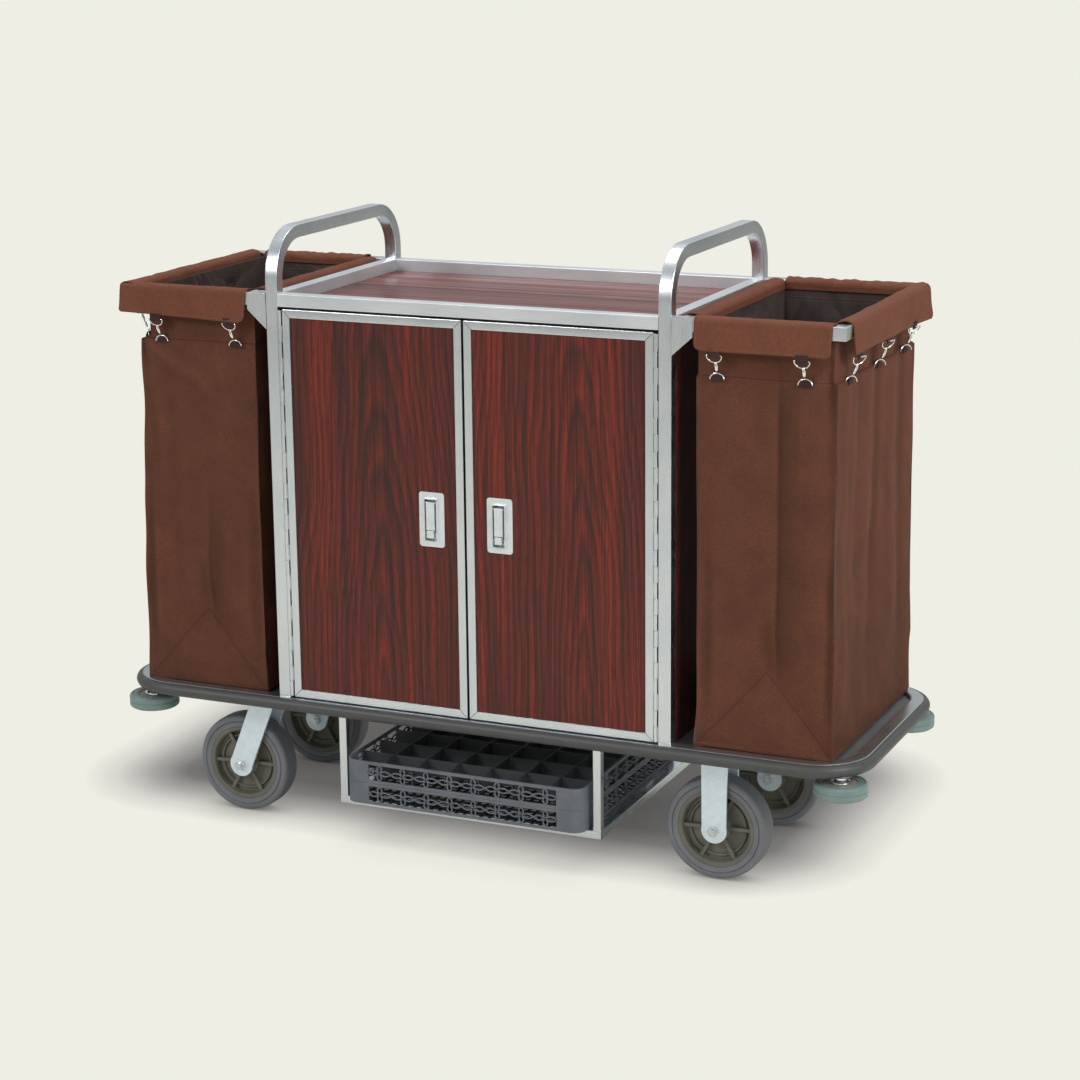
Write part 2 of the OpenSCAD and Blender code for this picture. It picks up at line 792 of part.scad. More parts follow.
// Bolts through the caster plates and the deck's cross-members
module caster_bolts() color(zinc) {
    front_and_back() for (x = [-swivel_x, rigid_x], dx = [-bolt_dx, bolt_dx], dy = [-bolt_dy, bolt_dy])
        translate([x + dx, caster_y + dy, 0]) {
            translate([0, 0, plate_z - 5]) cylinder(r = nut_r, h = 5, $fn = 6);
            rod_z(caster_bolt_r, plate_z - 1, deck_low + cross_t + 8);
            translate([0, 0, deck_low + cross_t]) cylinder(r = nut_r, h = 6, $fn = 6);
        }
}

deck_frame();
deck_tray();
deck_bumper();
left_handle_frame();
right_handle_frame();
top_rails();
top_panel();
left_side_panel();
right_side_panel();
back_panel();
shelf();
shelf_rails();
left_bag_frame();
right_bag_frame();
left_bag();
right_bag();
left_bag_clips();
right_bag_clips();
left_door_frame();
left_door_panel();
left_latch_plate();
left_latch_lever();
left_latch_button();
left_latch_bolt();
right_door_frame();
right_door_panel();
right_latch_plate();
right_latch_lever();
right_latch_button();
right_latch_bolt();
fixed_hinge_leaves();
left_hinge_leaf();
right_hinge_leaf();
hinge_pins();
rack_carrier();
rack_base();
rack_extender();
swivel_plates();
front_left_fork();
rear_left_fork();
front_left_axle();
rear_left_axle();
rigid_forks();
rigid_axles();
front_left_hub();
rear_left_hub();
front_right_hub();
rear_right_hub();
front_left_tread();
rear_left_tread();
front_right_tread();
rear_right_tread();
front_left_roller();
rear_left_roller();
front_right_roller();
rear_right_roller();
roller_bolts();
caster_bolts();
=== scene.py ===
"""Looks for the housekeeping cart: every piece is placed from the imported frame, in metres.
X runs along the cart, the doors face -Y, Z is up."""
from math import cos, pi, radians, sin, sqrt

import bpy
from mathutils import Matrix, Vector, noise


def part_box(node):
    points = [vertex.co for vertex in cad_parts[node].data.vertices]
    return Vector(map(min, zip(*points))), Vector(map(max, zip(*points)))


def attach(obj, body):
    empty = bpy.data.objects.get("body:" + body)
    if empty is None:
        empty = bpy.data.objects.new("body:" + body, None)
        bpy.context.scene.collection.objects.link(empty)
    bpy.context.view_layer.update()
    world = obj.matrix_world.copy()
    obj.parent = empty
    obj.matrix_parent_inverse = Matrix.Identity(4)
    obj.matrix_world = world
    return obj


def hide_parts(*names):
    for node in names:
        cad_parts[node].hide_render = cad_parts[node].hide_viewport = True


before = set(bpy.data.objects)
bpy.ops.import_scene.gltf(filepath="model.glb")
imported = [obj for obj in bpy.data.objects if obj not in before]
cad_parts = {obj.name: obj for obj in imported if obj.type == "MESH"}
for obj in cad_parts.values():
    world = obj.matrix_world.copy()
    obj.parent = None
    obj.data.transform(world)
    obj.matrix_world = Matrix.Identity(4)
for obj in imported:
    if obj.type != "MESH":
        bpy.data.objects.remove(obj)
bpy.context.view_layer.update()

MM = 0.001
SIDES = ((1, "right"), (-1, "left"))
ENDS = ("front_left", "front_right", "rear_left", "rear_right")
X, Y, Z = Vector((1, 0, 0)), Vector((0, 1, 0)), Vector((0, 0, 1))


# ---- shader helpers

class Nodes:
    """A node tree under construction: short calls that add and join nodes."""

    def __init__(self, owner):
        owner.use_nodes = True
        self.tree = owner.node_tree

    def add(self, kind, **settings):
        node = self.tree.nodes.new("ShaderNode" + kind)
        for key, value in settings.items():
            setattr(node, key, value)
        return node

    def plug(self, value, socket):
        if isinstance(value, bpy.types.NodeSocket):
            self.tree.links.new(value, socket)
        else:
            socket.default_value = value

    def coords(self, kind="Object", scale=(1, 1, 1), offset=(0, 0, 0)):
        source = self.add("TexCoord").outputs[kind]
        mapping = self.add("Mapping")
        for socket, value in (("Vector", source), ("Scale", scale), ("Location", offset)):
            self.plug(value, mapping.inputs[socket])
        return mapping.outputs["Vector"]

    def noise(self, vector, scale, detail=3.0, rough=0.55, distort=0.0):
        node = self.add("TexNoise")
        for key, value in (("Vector", vector), ("Scale", scale), ("Detail", detail), ("Roughness", rough),
                           ("Distortion", distort)):
            self.plug(value, node.inputs[key])
        return node.outputs["Fac"]

    def ramp(self, value, *stops):
        """Colour ramp: stops are (position, colour or grey)."""
        node = self.add("ValToRGB")
        self.plug(value, node.inputs["Fac"])
        elements = node.color_ramp.elements
        while len(elements) < len(stops):
            elements.new(0.5)
        for element, (place, colour) in zip(elements, stops):
            element.position = place
            element.color = (*colour, 1) if isinstance(colour, tuple) else (colour,) * 3 + (1,)
        return node.outputs["Color"]

    def math(self, operation, a, b=0.0, c=0.0):
        node = self.add("Math", operation=operation)
        for value, socket in zip((a, b, c), node.inputs):
            self.plug(value, socket)
        return node.outputs["Value"]

    def times(self, a, b):
        return self.math("MULTIPLY", a, b)

    def plus(self, a, b):
        return self.math("ADD", a, b)

    def minus(self, a, b):
        return self.math("SUBTRACT", a, b)

    def size(self, a):
        return self.math("ABSOLUTE", a)

    def mix(self, factor, a, b, blend="MIX"):
        node = self.add("Mix", data_type="RGBA", blend_type=blend)
        self.plug(factor, node.inputs[0])
        for value, socket in ((a, node.inputs[6]), (b, node.inputs[7])):
            self.plug((*value, 1) if isinstance(value, tuple) and len(value) == 3 else value, socket)
        return node.outputs[2]

    def split(self, vector):
        node = self.add("SeparateXYZ")
        self.plug(vector, node.inputs[0])
        return node.outputs

    def attribute(self, name):
        return self.add("Attribute", attribute_name=name).outputs["Fac"]

    def bump(self, height, strength, distance, base=None):
        node = self.add("Bump")
        node.inputs["Strength"].default_value = strength
        node.inputs["Distance"].default_value = distance
        self.plug(height, node.inputs["Height"])
        if base is not None:
            self.plug(base, node.inputs["Normal"])
        return node.outputs["Normal"]

    def soft_edges(self, radius):
        """A normal that rounds the sharp edges of the pieces that come straight from the CAD."""
        node = self.add("Bevel", samples=4)
        node.inputs["Radius"].default_value = radius
        return node.outputs["Normal"]

    def by_ray(self, kind, others, these):
        """One shader for the rays of one kind and another for the rest."""
        node = self.add("MixShader")
        chosen = self.add("LightPath").outputs[f"Is {kind} Ray"]
        for value, socket in zip((chosen, others, these), node.inputs):
            self.plug(value, socket)
        return node.outputs[0]

    def glow(self, kind, colour, strength=1.0):
        """An Emission or Background shader."""
        node = self.add(kind)
        self.plug(colour, node.inputs["Color"])
        self.plug(strength, node.inputs["Strength"])
        return node.outputs[0]


class Shader(Nodes):
    """A material's nodes, round its Principled BSDF. slots remembers which slot each material fills."""
    slots = {}

    def __init__(self, name, slot=None):
        self.material = bpy.data.materials.new(name)
        Shader.slots[self.material.name] = slot
        super().__init__(self.material)
        self.bsdf = self.tree.nodes["Principled BSDF"]

    def set(self, **inputs):
        for key, value in inputs.items():
            self.plug(value, self.bsdf.inputs[key.replace("_", " ")])


# ---- materials

def tinted(colour, *shares):
    """A colour times one share, or times one share for each channel."""
    return tuple(min(1, k * share) for k, share in zip(colour, shares * 3 if len(shares) == 1 else shares))


def brushed(name, space, stretch, tint=(0.72, 0.742, 0.775), rough=0.27, metallic=1.0):
    """Brushed stainless steel. stretch says how fast the brush marks vary along each axis of the space."""
    s = Shader(name, "brushed_steel")
    marks = s.noise(s.coords(space, stretch), 1.0, 5, 0.7)
    clouds = s.noise(s.coords("Object"), 7.0, 3, 0.5, 0.4)
    tone = s.mix(s.ramp(clouds, (0.36, 0.0), (0.62, 1.0)), tinted(tint, 0.88, 0.91, 0.93), tint)
    s.set(
        Base_Color=s.mix(s.ramp(marks, (0.38, 0.30), (0.52, 0.0)), tone, tinted(tint, 0.72)),
        Metallic=metallic,
        Roughness=s.plus(s.times(marks, 0.18), s.math("MULTIPLY_ADD", clouds, 0.16, rough - 0.17)),
        Normal=s.bump(marks, 0.07, 0.3 * MM, None if space == "UV" else s.soft_edges(1.2 * MM)),
    )
    return s.material


def laminate(name, grain, centre, phase=0.0, gloss=0.30, lift=1.0):
    """Dark red mahogany laminate, its grain along one axis (0 X, 1 Y, 2 Z). centre places the middle of the
    flame figure across the grain, in metres, and phase shifts the figure along it. lift paints the board
    lighter, as painted light, and lets its streaks show through the sky's reflection."""
    s = Shader(name, "mahogany_laminate")

    def stretched(across, along):
        scale = [across] * 3
        scale[grain] = along
        return s.coords("Object", tuple(scale), (centre * 3, phase, phase * 2))

    place = s.split(s.coords("Object"))
    others = [place[k] for k in range(3) if k != grain]
    wander = s.math("MULTIPLY_ADD", s.noise(stretched(5.0, 1.3), 1.0, 2), 0.11, -0.055)
    across = s.plus(s.minus(s.plus(*others), centre), wander)
    along = s.math("MULTIPLY_ADD", s.plus(place[grain], phase), 0.10, 0.004)
    radius = s.math("SQRT", s.plus(s.times(across, across), s.times(along, along)))
    uneven = s.times(s.noise(stretched(14, 1.6), 1.0, 3, 0.6), 1.8)
    turn = s.math("FRACT", s.plus(s.math("DIVIDE", radius, 13 * MM), uneven))
    lines = s.ramp(turn, (0.0, 1.0), (0.10, 0.45), (0.30, 0.0), (0.84, 0.10), (1.0, 1.0))
    red = s.ramp(turn, (0.05, 0.0), (0.30, 1.0), (0.55, 0.55), (0.95, 0.0))
    streaks = s.noise(stretched(70, 0.9), 1.0, 5, 0.62, 0.2)
    broad = s.noise(stretched(13, 0.7), 1.0, 2)
    fine = s.noise(stretched(330, 4.0), 1.0, 4, 0.65)
    pores = s.noise(stretched(800, 30), 1.0, 2, 0.6)
    tone = s.plus(s.times(streaks, 0.55), s.times(broad, 0.32))
    tone = s.plus(tone, s.times(red, 0.12))
    body = s.ramp(
        tone,
        (0.36, (0.064, 0.020, 0.016)), (0.46, (0.115, 0.025, 0.018)),
        (0.55, (0.180, 0.027, 0.018)), (0.66, (0.300, 0.031, 0.017)))
    strength = s.times(lines, s.ramp(streaks, (0.36, 0.62), (0.62, 0.22)))
    body = s.mix(strength, body, (0.038, 0.016, 0.016))
    body = s.mix(s.ramp(fine, (0.38, 0.66), (0.54, 0.0)), body, (0.036, 0.015, 0.014))
    body = s.mix(s.ramp(pores, (0.36, 0.50), (0.46, 0.0)), body, (0.020, 0.009, 0.009))
    veil = 0.26 if lift == 1 else s.ramp(streaks, (0.38, 0.03), (0.60, 0.20))
    s.set(
        Base_Color=s.mix(1.0, body, (lift,) * 3, "MULTIPLY"),
        Roughness=s.plus(s.times(fine, 0.12), gloss),
        Specular_IOR_Level=veil,
        Normal=s.bump(fine, 0.10, 0.12 * MM, s.soft_edges(0.6 * MM)),
    )
    return s.material


def stitches(s, edge, along, inset):
    """Mask of a row of stitches that runs inset metres from an edge."""
    band = s.math("LESS_THAN", s.size(s.minus(edge, inset)), 0.45 * MM)
    dash = s.math("LESS_THAN", s.math("FRACT", s.times(along, 1 / (3.4 * MM))), 0.68)
    return s.times(band, dash)


def woven(name, colour, dark, sheen, seam_z=None, rough=0.84, creases=0.0):
    """Plain-woven cloth: threads both ways from the UV map, mottled dye, stitched edges and seam, and painted
    shade in hollows, beside folds and in creases, with a painted highlight on corner edges.
    """
    s = Shader(name, "brown_cloth")
    uv = s.split(s.coords("UV"))
    thread = 2 * pi / (1.5 * MM)
    warp = s.math("SINE", s.times(uv[0], thread))
    weft = s.math("SINE", s.times(uv[1], thread))
    weave = s.math("MULTIPLY_ADD", s.times(warp, weft), 0.5, 0.5)
    slub = s.noise(s.coords("UV", (900, 160, 1)), 1.0, 3, 0.6)
    speckle = s.noise(s.coords("Object"), 260.0, 2, 0.6)
    mottle = s.noise(s.coords("Object"), 11.0, 3, 0.6)
    base = s.mix(s.ramp(mottle, (0.32, 0.25), (0.66, 1.0)), dark, colour)
    base = s.mix(s.times(weave, 0.15), base, dark)
    base = s.mix(s.ramp(speckle, (0.40, 0.35), (0.60, 0.0)), base, tinted(dark, 0.7))
    height = s.plus(s.times(weave, 0.6), s.times(slub, 0.5))
    normal = s.bump(height, 0.30, 0.25 * MM)
    if creases:
        folds = s.noise(s.coords("Object", (1, 1, 0.7)), 8.5, 2, 0.5, 0.7)
        folds = s.size(s.minus(folds, 0.5))
        normal = s.bump(folds, creases, 60 * MM, normal)
    sewn = stitches(s, s.attribute("edge"), s.attribute("along"), 4 * MM)
    if seam_z is not None:
        above = s.minus(s.split(s.coords("Object"))[2], seam_z)
        line = s.math("LESS_THAN", s.size(above), 0.6 * MM)
        sewn = s.math("MAXIMUM", sewn, stitches(s, s.size(above), uv[0], 3 * MM))
        base = s.mix(s.times(line, 0.5), base, tinted(dark, 0.6))
        normal = s.bump(line, -0.6, 1.0 * MM, normal)
    base = s.mix(s.times(sewn, 0.35), base, tinted(colour, 1.9))
    # Painted highlight: the bag's corner edges lighter, from the fold attribute.
    base = s.mix(s.times(s.attribute("fold"), 0.35), base, tinted(colour, 1.6))
    # Painted shade: hollows darker than crests, from the shade attribute.
    painted_hollow_shade = s.ramp(s.math("MULTIPLY_ADD", s.attribute("shade"), 0.5, 0.5), (0.0, 0.76), (1.0, 1.0))
    base = s.mix(1.0, base, painted_hollow_shade, "MULTIPLY")
    # Painted shadow beside the front's long fold, and painted shade darker towards the bottom of the other
    # faces.
    base = s.mix(1.0, base, s.ramp(s.attribute("gloom"), (0.0, 1.0), (1.0, 0.42)), "MULTIPLY")
    if seam_z is not None:
        slant = s.size(s.attribute("slant"))
        # Painted shade along the slanted crease lines of the foot, with a groove bump.
        crease = s.ramp(s.math("DIVIDE", slant, 3 * MM), (0.15, 1.0), (1.0, 0.0))
        base = s.mix(s.times(crease, 0.60), base, tinted(dark, 0.5))
        normal = s.bump(crease, -0.5, 1.0 * MM, normal)
    normal = s.bump(sewn, 0.5, 0.5 * MM, normal)
    s.set(
        Base_Color=base, Roughness=rough, Specular_IOR_Level=0.25,
        Sheen_Weight=sheen, Sheen_Roughness=0.45, Sheen_Tint=(*colour, 1), Normal=normal)
    return s.material


def moulded(name, slot, colour, rough=0.5, grain=900, depth=0.06, variation=0.25):
    """Moulded plastic or rubber with a fine texture and slight blotches."""
    s = Shader(name, slot)
    blotch = s.noise(s.coords("Object"), 22.0, 3)
    fine = s.noise(s.coords("Object"), grain, 2)
    s.set(
        Base_Color=s.mix(s.ramp(blotch, (0.32, 0.0), (0.70, 1.0)), tinted(colour, 1 - variation), colour),
        Roughness=s.plus(s.times(blotch, 0.14), rough - 0.07),
        Normal=s.bump(fine, depth, 0.4 * MM, s.soft_edges(0.7 * MM)),
    )
    return s.material


def plated(name, slot, colour, rough, spangle=0.0, metallic=1.0):
    """Zinc or chrome plating: spangle mottles the colour and the gloss."""
    s = Shader(name, slot)
    patches = s.noise(s.coords("Object"), 75.0, 4, 0.65, 0.5)
    fine = s.noise(s.coords("Object"), 420.0, 2)
    s.set(
        Base_Color=s.mix(s.ramp(patches, (0.35, 0.0), (0.62, 1.0)), tinted(colour, 1 - spangle), colour),
        Metallic=metallic,
        Roughness=s.math("MULTIPLY_ADD", fine, 0.5 * spangle + 0.04, rough),
        Normal=s.bump(fine, 0.04 + 0.1 * spangle, 0.2 * MM, s.soft_edges(0.8 * MM)),
    )
    return s.material


BROWN, BROWN_DARK = (0.158, 0.056, 0.032), (0.116, 0.041, 0.024)
LINING, LINING_DARK = (0.112, 0.082, 0.077), (0.066, 0.048, 0.046)
SEAM_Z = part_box("right_bag_clips")[0].z + 3 * MM
RAIL_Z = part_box("top_rails")[1].z

steel_uv = brushed("steel_tube", "UV", (14, 1400, 1))
steel_rails = brushed("steel_rails", "UV", (14, 1400, 1), (0.74, 0.76, 0.78), 0.38, 0.75)
steel_x = brushed("steel_along_x", "Object", (10, 900, 900))
steel_z = brushed("steel_along_z", "Object", (900, 900, 10))
DOOR_FACE_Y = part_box("left_door_panel")[0].y
# The top board is painted 1.35 times lighter than the same laminate on the doors: painted light.
wood_top = laminate("mahogany_top", 0, RAIL_Z + 0.03, 0.5, 0.24, 1.35)
wood_left = laminate("mahogany_left_door", 2, DOOR_FACE_Y - 0.18, -0.25)
wood_right = laminate("mahogany_right_door", 2, DOOR_FACE_Y + 0.23, -0.37)
wood_side = laminate("mahogany_boards", 2, 0.26, -0.15)
cloth = woven("brown_cloth", BROWN, BROWN_DARK, 0.12, SEAM_Z)
# The flaps get the same brown cloth painted 1.3 times lighter, as painted light.
flap_cloth_painted_light = woven("brown_flap_cloth", tinted(BROWN, 1.30), tinted(BROWN_DARK, 1.35), 0.14)
lining = woven("dark_lining", LINING, LINING_DARK, 0.05, RAIL_Z - 34 * MM, 0.42, 0.55)
tab_cloth = woven("dark_tab", (0.060, 0.032, 0.030), (0.030, 0.018, 0.018), 0.1)
bumper_rubber = moulded("bumper_rubber", "bumper_rubber", (0.068, 0.068, 0.069), 0.46, 500, 0.05, 0.2)
rack_plastic = moulded("rack_plastic", "rack_plastic", (0.150, 0.168, 0.200), 0.50)
# The inner dividers and the floor cells are the rack's plastic painted darker: painted shade inside the rack.
rack_inside_painted_shade = moulded("rack_inside_painted_shade", "rack_plastic", (0.062, 0.065, 0.074), 0.55)
rack_floor_painted_shade = moulded("rack_floor_painted_shade", "rack_plastic", (0.020, 0.021, 0.025), 0.65)
hub_plastic = moulded("hub_plastic", "hub_plastic", (0.175, 0.168, 0.135), 0.55)
tyre_rubber = moulded("tyre_rubber", "wheel_rubber", (0.200, 0.203, 0.230), 0.52, 700, 0.05, 0.18)
roller_rubber = moulded("roller_rubber", "roller_rubber", (0.195, 0.280, 0.270), 0.42, 500, 0.05, 0.2)
roller_core = moulded("roller_core", "roller_rubber", (0.36, 0.33, 0.26), 0.5)
zinc = plated("zinc_plate", "zinc", (0.80, 0.91, 1.0), 0.32, 0.08, 0.35)
dark_chrome = plated("dark_chrome", "zinc", (0.70, 0.72, 0.74), 0.20, 0.12)
steel_rim = brushed("steel_rim", "UV", (14, 900, 1), (0.46, 0.48, 0.49), 0.30, 0.9)
steel_deck = brushed("steel_deck", "Object", (10, 900, 900), (0.33, 0.35, 0.36), 0.40, 0.65)
chrome = plated("chrome", "chrome", (0.86, 0.86, 0.87), 0.10)
latch_metal = plated("latch_metal", "latch_metal", (0.80, 0.85, 0.88), 0.30, 0.10, 0.7)


# ---- mesh helpers

def piece(name, verts, faces, material, body, uvs=None, replaces=(), crease=35, extra=()):
    """A mesh object that rides on a CAD body. uvs holds one (u, v) for each face corner."""
    mesh = bpy.data.meshes.new(name)
    mesh.from_pydata([tuple(v) for v in verts], [], faces)
    for each in (material, *extra):
        mesh.materials.append(each)
    if uvs:
        layer = mesh.uv_layers.new(name="UVMap")
        for loop, uv in zip(layer.data, uvs):
            loop.uv = uv
    mesh.validate()
    mesh.polygons.foreach_set("use_smooth", [True] * len(mesh.polygons))
    mesh.set_sharp_from_angle(angle=radians(crease))
    obj = bpy.data.objects.new(name, mesh)
    bpy.context.scene.collection.objects.link(obj)
    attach(obj, body)
    if crease < 60:
        flat = obj.modifiers.new("flat_faces", "WEIGHTED_NORMAL")
        flat.keep_sharp = True
    for node in replaces:
        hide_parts(node)
    return obj


def grid_faces(rows, columns, wrap_rows=False, wrap_columns=False, start=0):
    """Quads over a grid of points stored row by row."""
    faces = []
    for i in range(rows if wrap_rows else rows - 1):
        for j in range(columns if wrap_columns else columns - 1):
            a, b = i * columns + j, i * columns + (j + 1) % columns
            c, d = ((i + 1) % rows) * columns + (j + 1) % columns, ((i + 1) % rows) * columns + j
            faces.append(tuple(start + k for k in (a, b, c, d)))
    return faces


CORNERS = ((1, 1, 0), (-1, 1, 90), (-1, -1, 180), (1, -1, 270))


def rounded_outline(width, height, radius, steps=4):
    """A rounded rectangle about the origin, anticlockwise, as a list of (a, b)."""
    points = []
    for sa, sb, start in CORNERS:
        for k in range(steps + 1):
            t = radians(start + 90 * k / steps)
            points.append((
                sa * (width / 2 - radius) + radius * cos(t),
                sb * (height / 2 - radius) + radius * sin(t)))
    return points


def level_loop(centre, width, depth, radius, z, steps):
    """The same outline as a level path about a centre."""
    return [(centre.x + a, centre.y + b, z) for a, b in rounded_outline(width, depth, radius, steps)]


def turned(half):
    """A closed profile in metres from its lower half in millimetres."""
    return [(a * MM, b * MM) for a, b in half + [(a, -b) for a, b in half[::-1]]]


class Mesh:
    """Collects parts so that one piece can hold several."""

    def __init__(self):
        self.verts, self.faces, self.uvs = [], [], []

    def face(self, corners, uvs):
        self.faces.append(tuple(corners))
        self.uvs.extend(uvs)

    def sweep(self, path, outline, normal, closed=False):
        """Sweeps an outline (side, along normal) down a path in a plane, with mitred corners."""
        path = [Vector(p) for p in path]
        normal = Vector(normal).normalized()
        count, wide, first = len(path), len(outline), len(self.verts)
        girth = [0.0]
        for k in range(wide):
            a, b = outline[k], outline[(k + 1) % wide]
            girth.append(girth[-1] + sqrt((a[0] - b[0]) ** 2 + (a[1] - b[1]) ** 2))
        length = [0.0]
        for k in range(count):
            length.append(length[-1] + (path[(k + 1) % count] - path[k]).length)
        for i, point in enumerate(path):
            before = path[i - 1] if (closed or i) else None
            after = path[(i + 1) % count] if (closed or i < count - 1) else None
            ways = []
            if before is not None:
                ways.append((point - before).normalized())
            if after is not None:
                ways.append((after - point).normalized())
            along = sum(ways, Vector()).normalized()
            side = along.cross(normal)
            side /= max(0.2, side.length * along.dot(ways[0]))
            for a, b in outline:
                self.verts.append(point + side * a + normal * b)
        for i in range(count if closed else count - 1):
            for j in range(wide):
                k, m = (j + 1) % wide, (i + 1) % count
                corners = [i * wide + j, i * wide + k, m * wide + k, m * wide + j]
                self.face([first + c for c in corners], [
                    (length[i], girth[j]), (length[i], girth[j + 1]),
                    (length[i + 1], girth[j + 1]), (length[i + 1], girth[j])])
        if not closed:
            for ring, order in ((0, -1), (count - 1, 1)):
                corners = [first + ring * wide + j for j in range(wide)][::order]
                self.face(corners, [outline[j] for j in range(wide)][::order])
        return self

    def mitred_bar(self, start, stop, outline, normal, gap):
        """A bar of a frame, cut at 45 degrees at both ends so that its outer side is the longer one."""
        start, stop, normal = Vector(start), Vector(stop), Vector(normal)
        along = (stop - start).normalized()
        side, first, wide = along.cross(normal), len(self.verts), len(outline)
        for end, sign in ((start, 1), (stop, -1)):
            self.verts.extend(end + side * a + normal * b + along * sign * (gap + a) for a, b in outline)
        span, girth = (stop - start).length, 0.0
        for j in range(wide):
            k = (j + 1) % wide
            after = girth + (Vector(outline[k]) - Vector(outline[j])).length
            self.face([first + j, first + k, first + wide + k, first + wide + j],
                      [(0, girth), (0, after), (span, after), (span, girth)])
            girth = after
        self.face([first + j for j in range(wide)][::-1], outline[::-1])
        self.face([first + wide + j for j in range(wide)], outline)
        return self

    def lathe(self, profile, centre, axis, segments=96):
        """Turns a closed profile of (radius, along axis) points about an axis."""
        axis, centre = Vector(axis).normalized(), Vector(centre)
        u = axis.orthogonal().normalized()
        w = axis.cross(u)
        first, wide = len(self.verts), len(profile)
        for i in range(segments):
            t = 2 * pi * i / segments
            spoke = u * cos(t) + w * sin(t)
            self.verts.extend(centre + spoke * r + axis * h for r, h in profile)
        for corners in grid_faces(segments, wide, True, True, first):
            spots = [((c - first) // wide, (c - first) % wide) for c in corners]
            self.face(corners, [(i / segments, profile[j][1]) for i, j in spots])
        return self

    def slab(self, outline, origin, across, up, thick):
        """A flat plate: an outline (across, up) pushed through its thickness along across x up."""
        origin, across, up = Vector(origin), Vector(across), Vector(up)
        out, first, count = across.cross(up), len(self.verts), len(outline)
        for depth in (0, thick):
            self.verts.extend(origin + across * a + up * b + out * depth for a, b in outline)
        self.face([first + k for k in range(count)][::-1], list(outline)[::-1])
        self.face([first + count + k for k in range(count)], list(outline))
        for k in range(count):
            m = (k + 1) % count
            self.face([first + k, first + m, first + count + m, first + count + k], [
                (outline[k][0], 0), (outline[m][0], 0), (outline[m][0], thick), (outline[k][0], thick)])
        return self

    def box(self, low, high):
        """A box with rounded vertical edges."""
        low, high = Vector(low), Vector(high)
        size, middle = high - low, (low + high) / 2
        radius = min(0.8 * MM, size.x / 2.01, size.y / 2.01)
        outline = rounded_outline(size.x, size.y, radius, 2)
        return self.slab(outline, (middle.x, middle.y, low.z), X, Y, size.z)

    def wire(self, path, radius, closed=False, steps=8):
        """A round wire along any 3-D path."""
        count, first, lift = len(path), len(self.verts), None
        for i, point in enumerate(path):
            before = path[i - 1] if (closed or i) else point
            after = path[(i + 1) % count] if (closed or i < count - 1) else point
            along = (after - before).normalized()
            lift = along.orthogonal() if lift is None else lift - along * lift.dot(along)
            lift.normalize()
            side = along.cross(lift)
            turns = [2 * pi * k / steps for k in range(steps)]
            self.verts.extend(point + radius * (lift * cos(t) + side * sin(t)) for t in turns)
        faces = grid_faces(count, steps, closed, True, first)
        if not closed:
            ring = [first + k for k in range(steps)]
            faces += [ring[::-1], [(count - 1) * steps + k for k in ring]]
        for corners in faces:
            self.face(corners, [(0, 0)] * len(corners))

    def make(self, name, material, body, **options):
        return piece(name, self.verts, self.faces, material, body, uvs=self.uvs, **options)


def arc(centre, u, v, radius, start, stop, steps=14):
    """Points on an arc in the plane of u and v, in degrees."""
    centre, u, v = Vector(centre), Vector(u), Vector(v)
    turns = [radians(start + (stop - start) * k / steps) for k in range(steps + 1)]
    return [centre + radius * (u * cos(t) + v * sin(t)) for t in turns]


def middle_and_half(node):
    """The middle of a node's box, and half its size."""
    low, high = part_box(node)
    return (low + high) / 2, (high - low) / 2


def paint(material, *nodes):
    """Gives CAD nodes that stay in view their material."""
    for node in nodes:
        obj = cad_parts[node]
        obj.data.materials.clear()
        obj.data.materials.append(material)


# ---- cart measures, from the frame

posts_low, posts_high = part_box("right_handle_frame")
TUBE = posts_high.x - posts_low.x
POST_X, POST_Y = posts_high.x, posts_high.y
DECK_Z, HANDLE_Z = posts_low.z, posts_high.z
BEND_R = 95 * MM
TUBE_R = 2.0 * MM

SQUARE = rounded_outline(TUBE, TUBE, TUBE_R, 3)


def tube(name, path, normal, replaces=()):
    """A square tube with rounded edges, bent or mitred along a path in a plane."""
    Mesh().sweep(path, SQUARE, normal).make(
        name, steel_uv, "cart", replaces=replaces, crease=25)


# ---- frame tubes

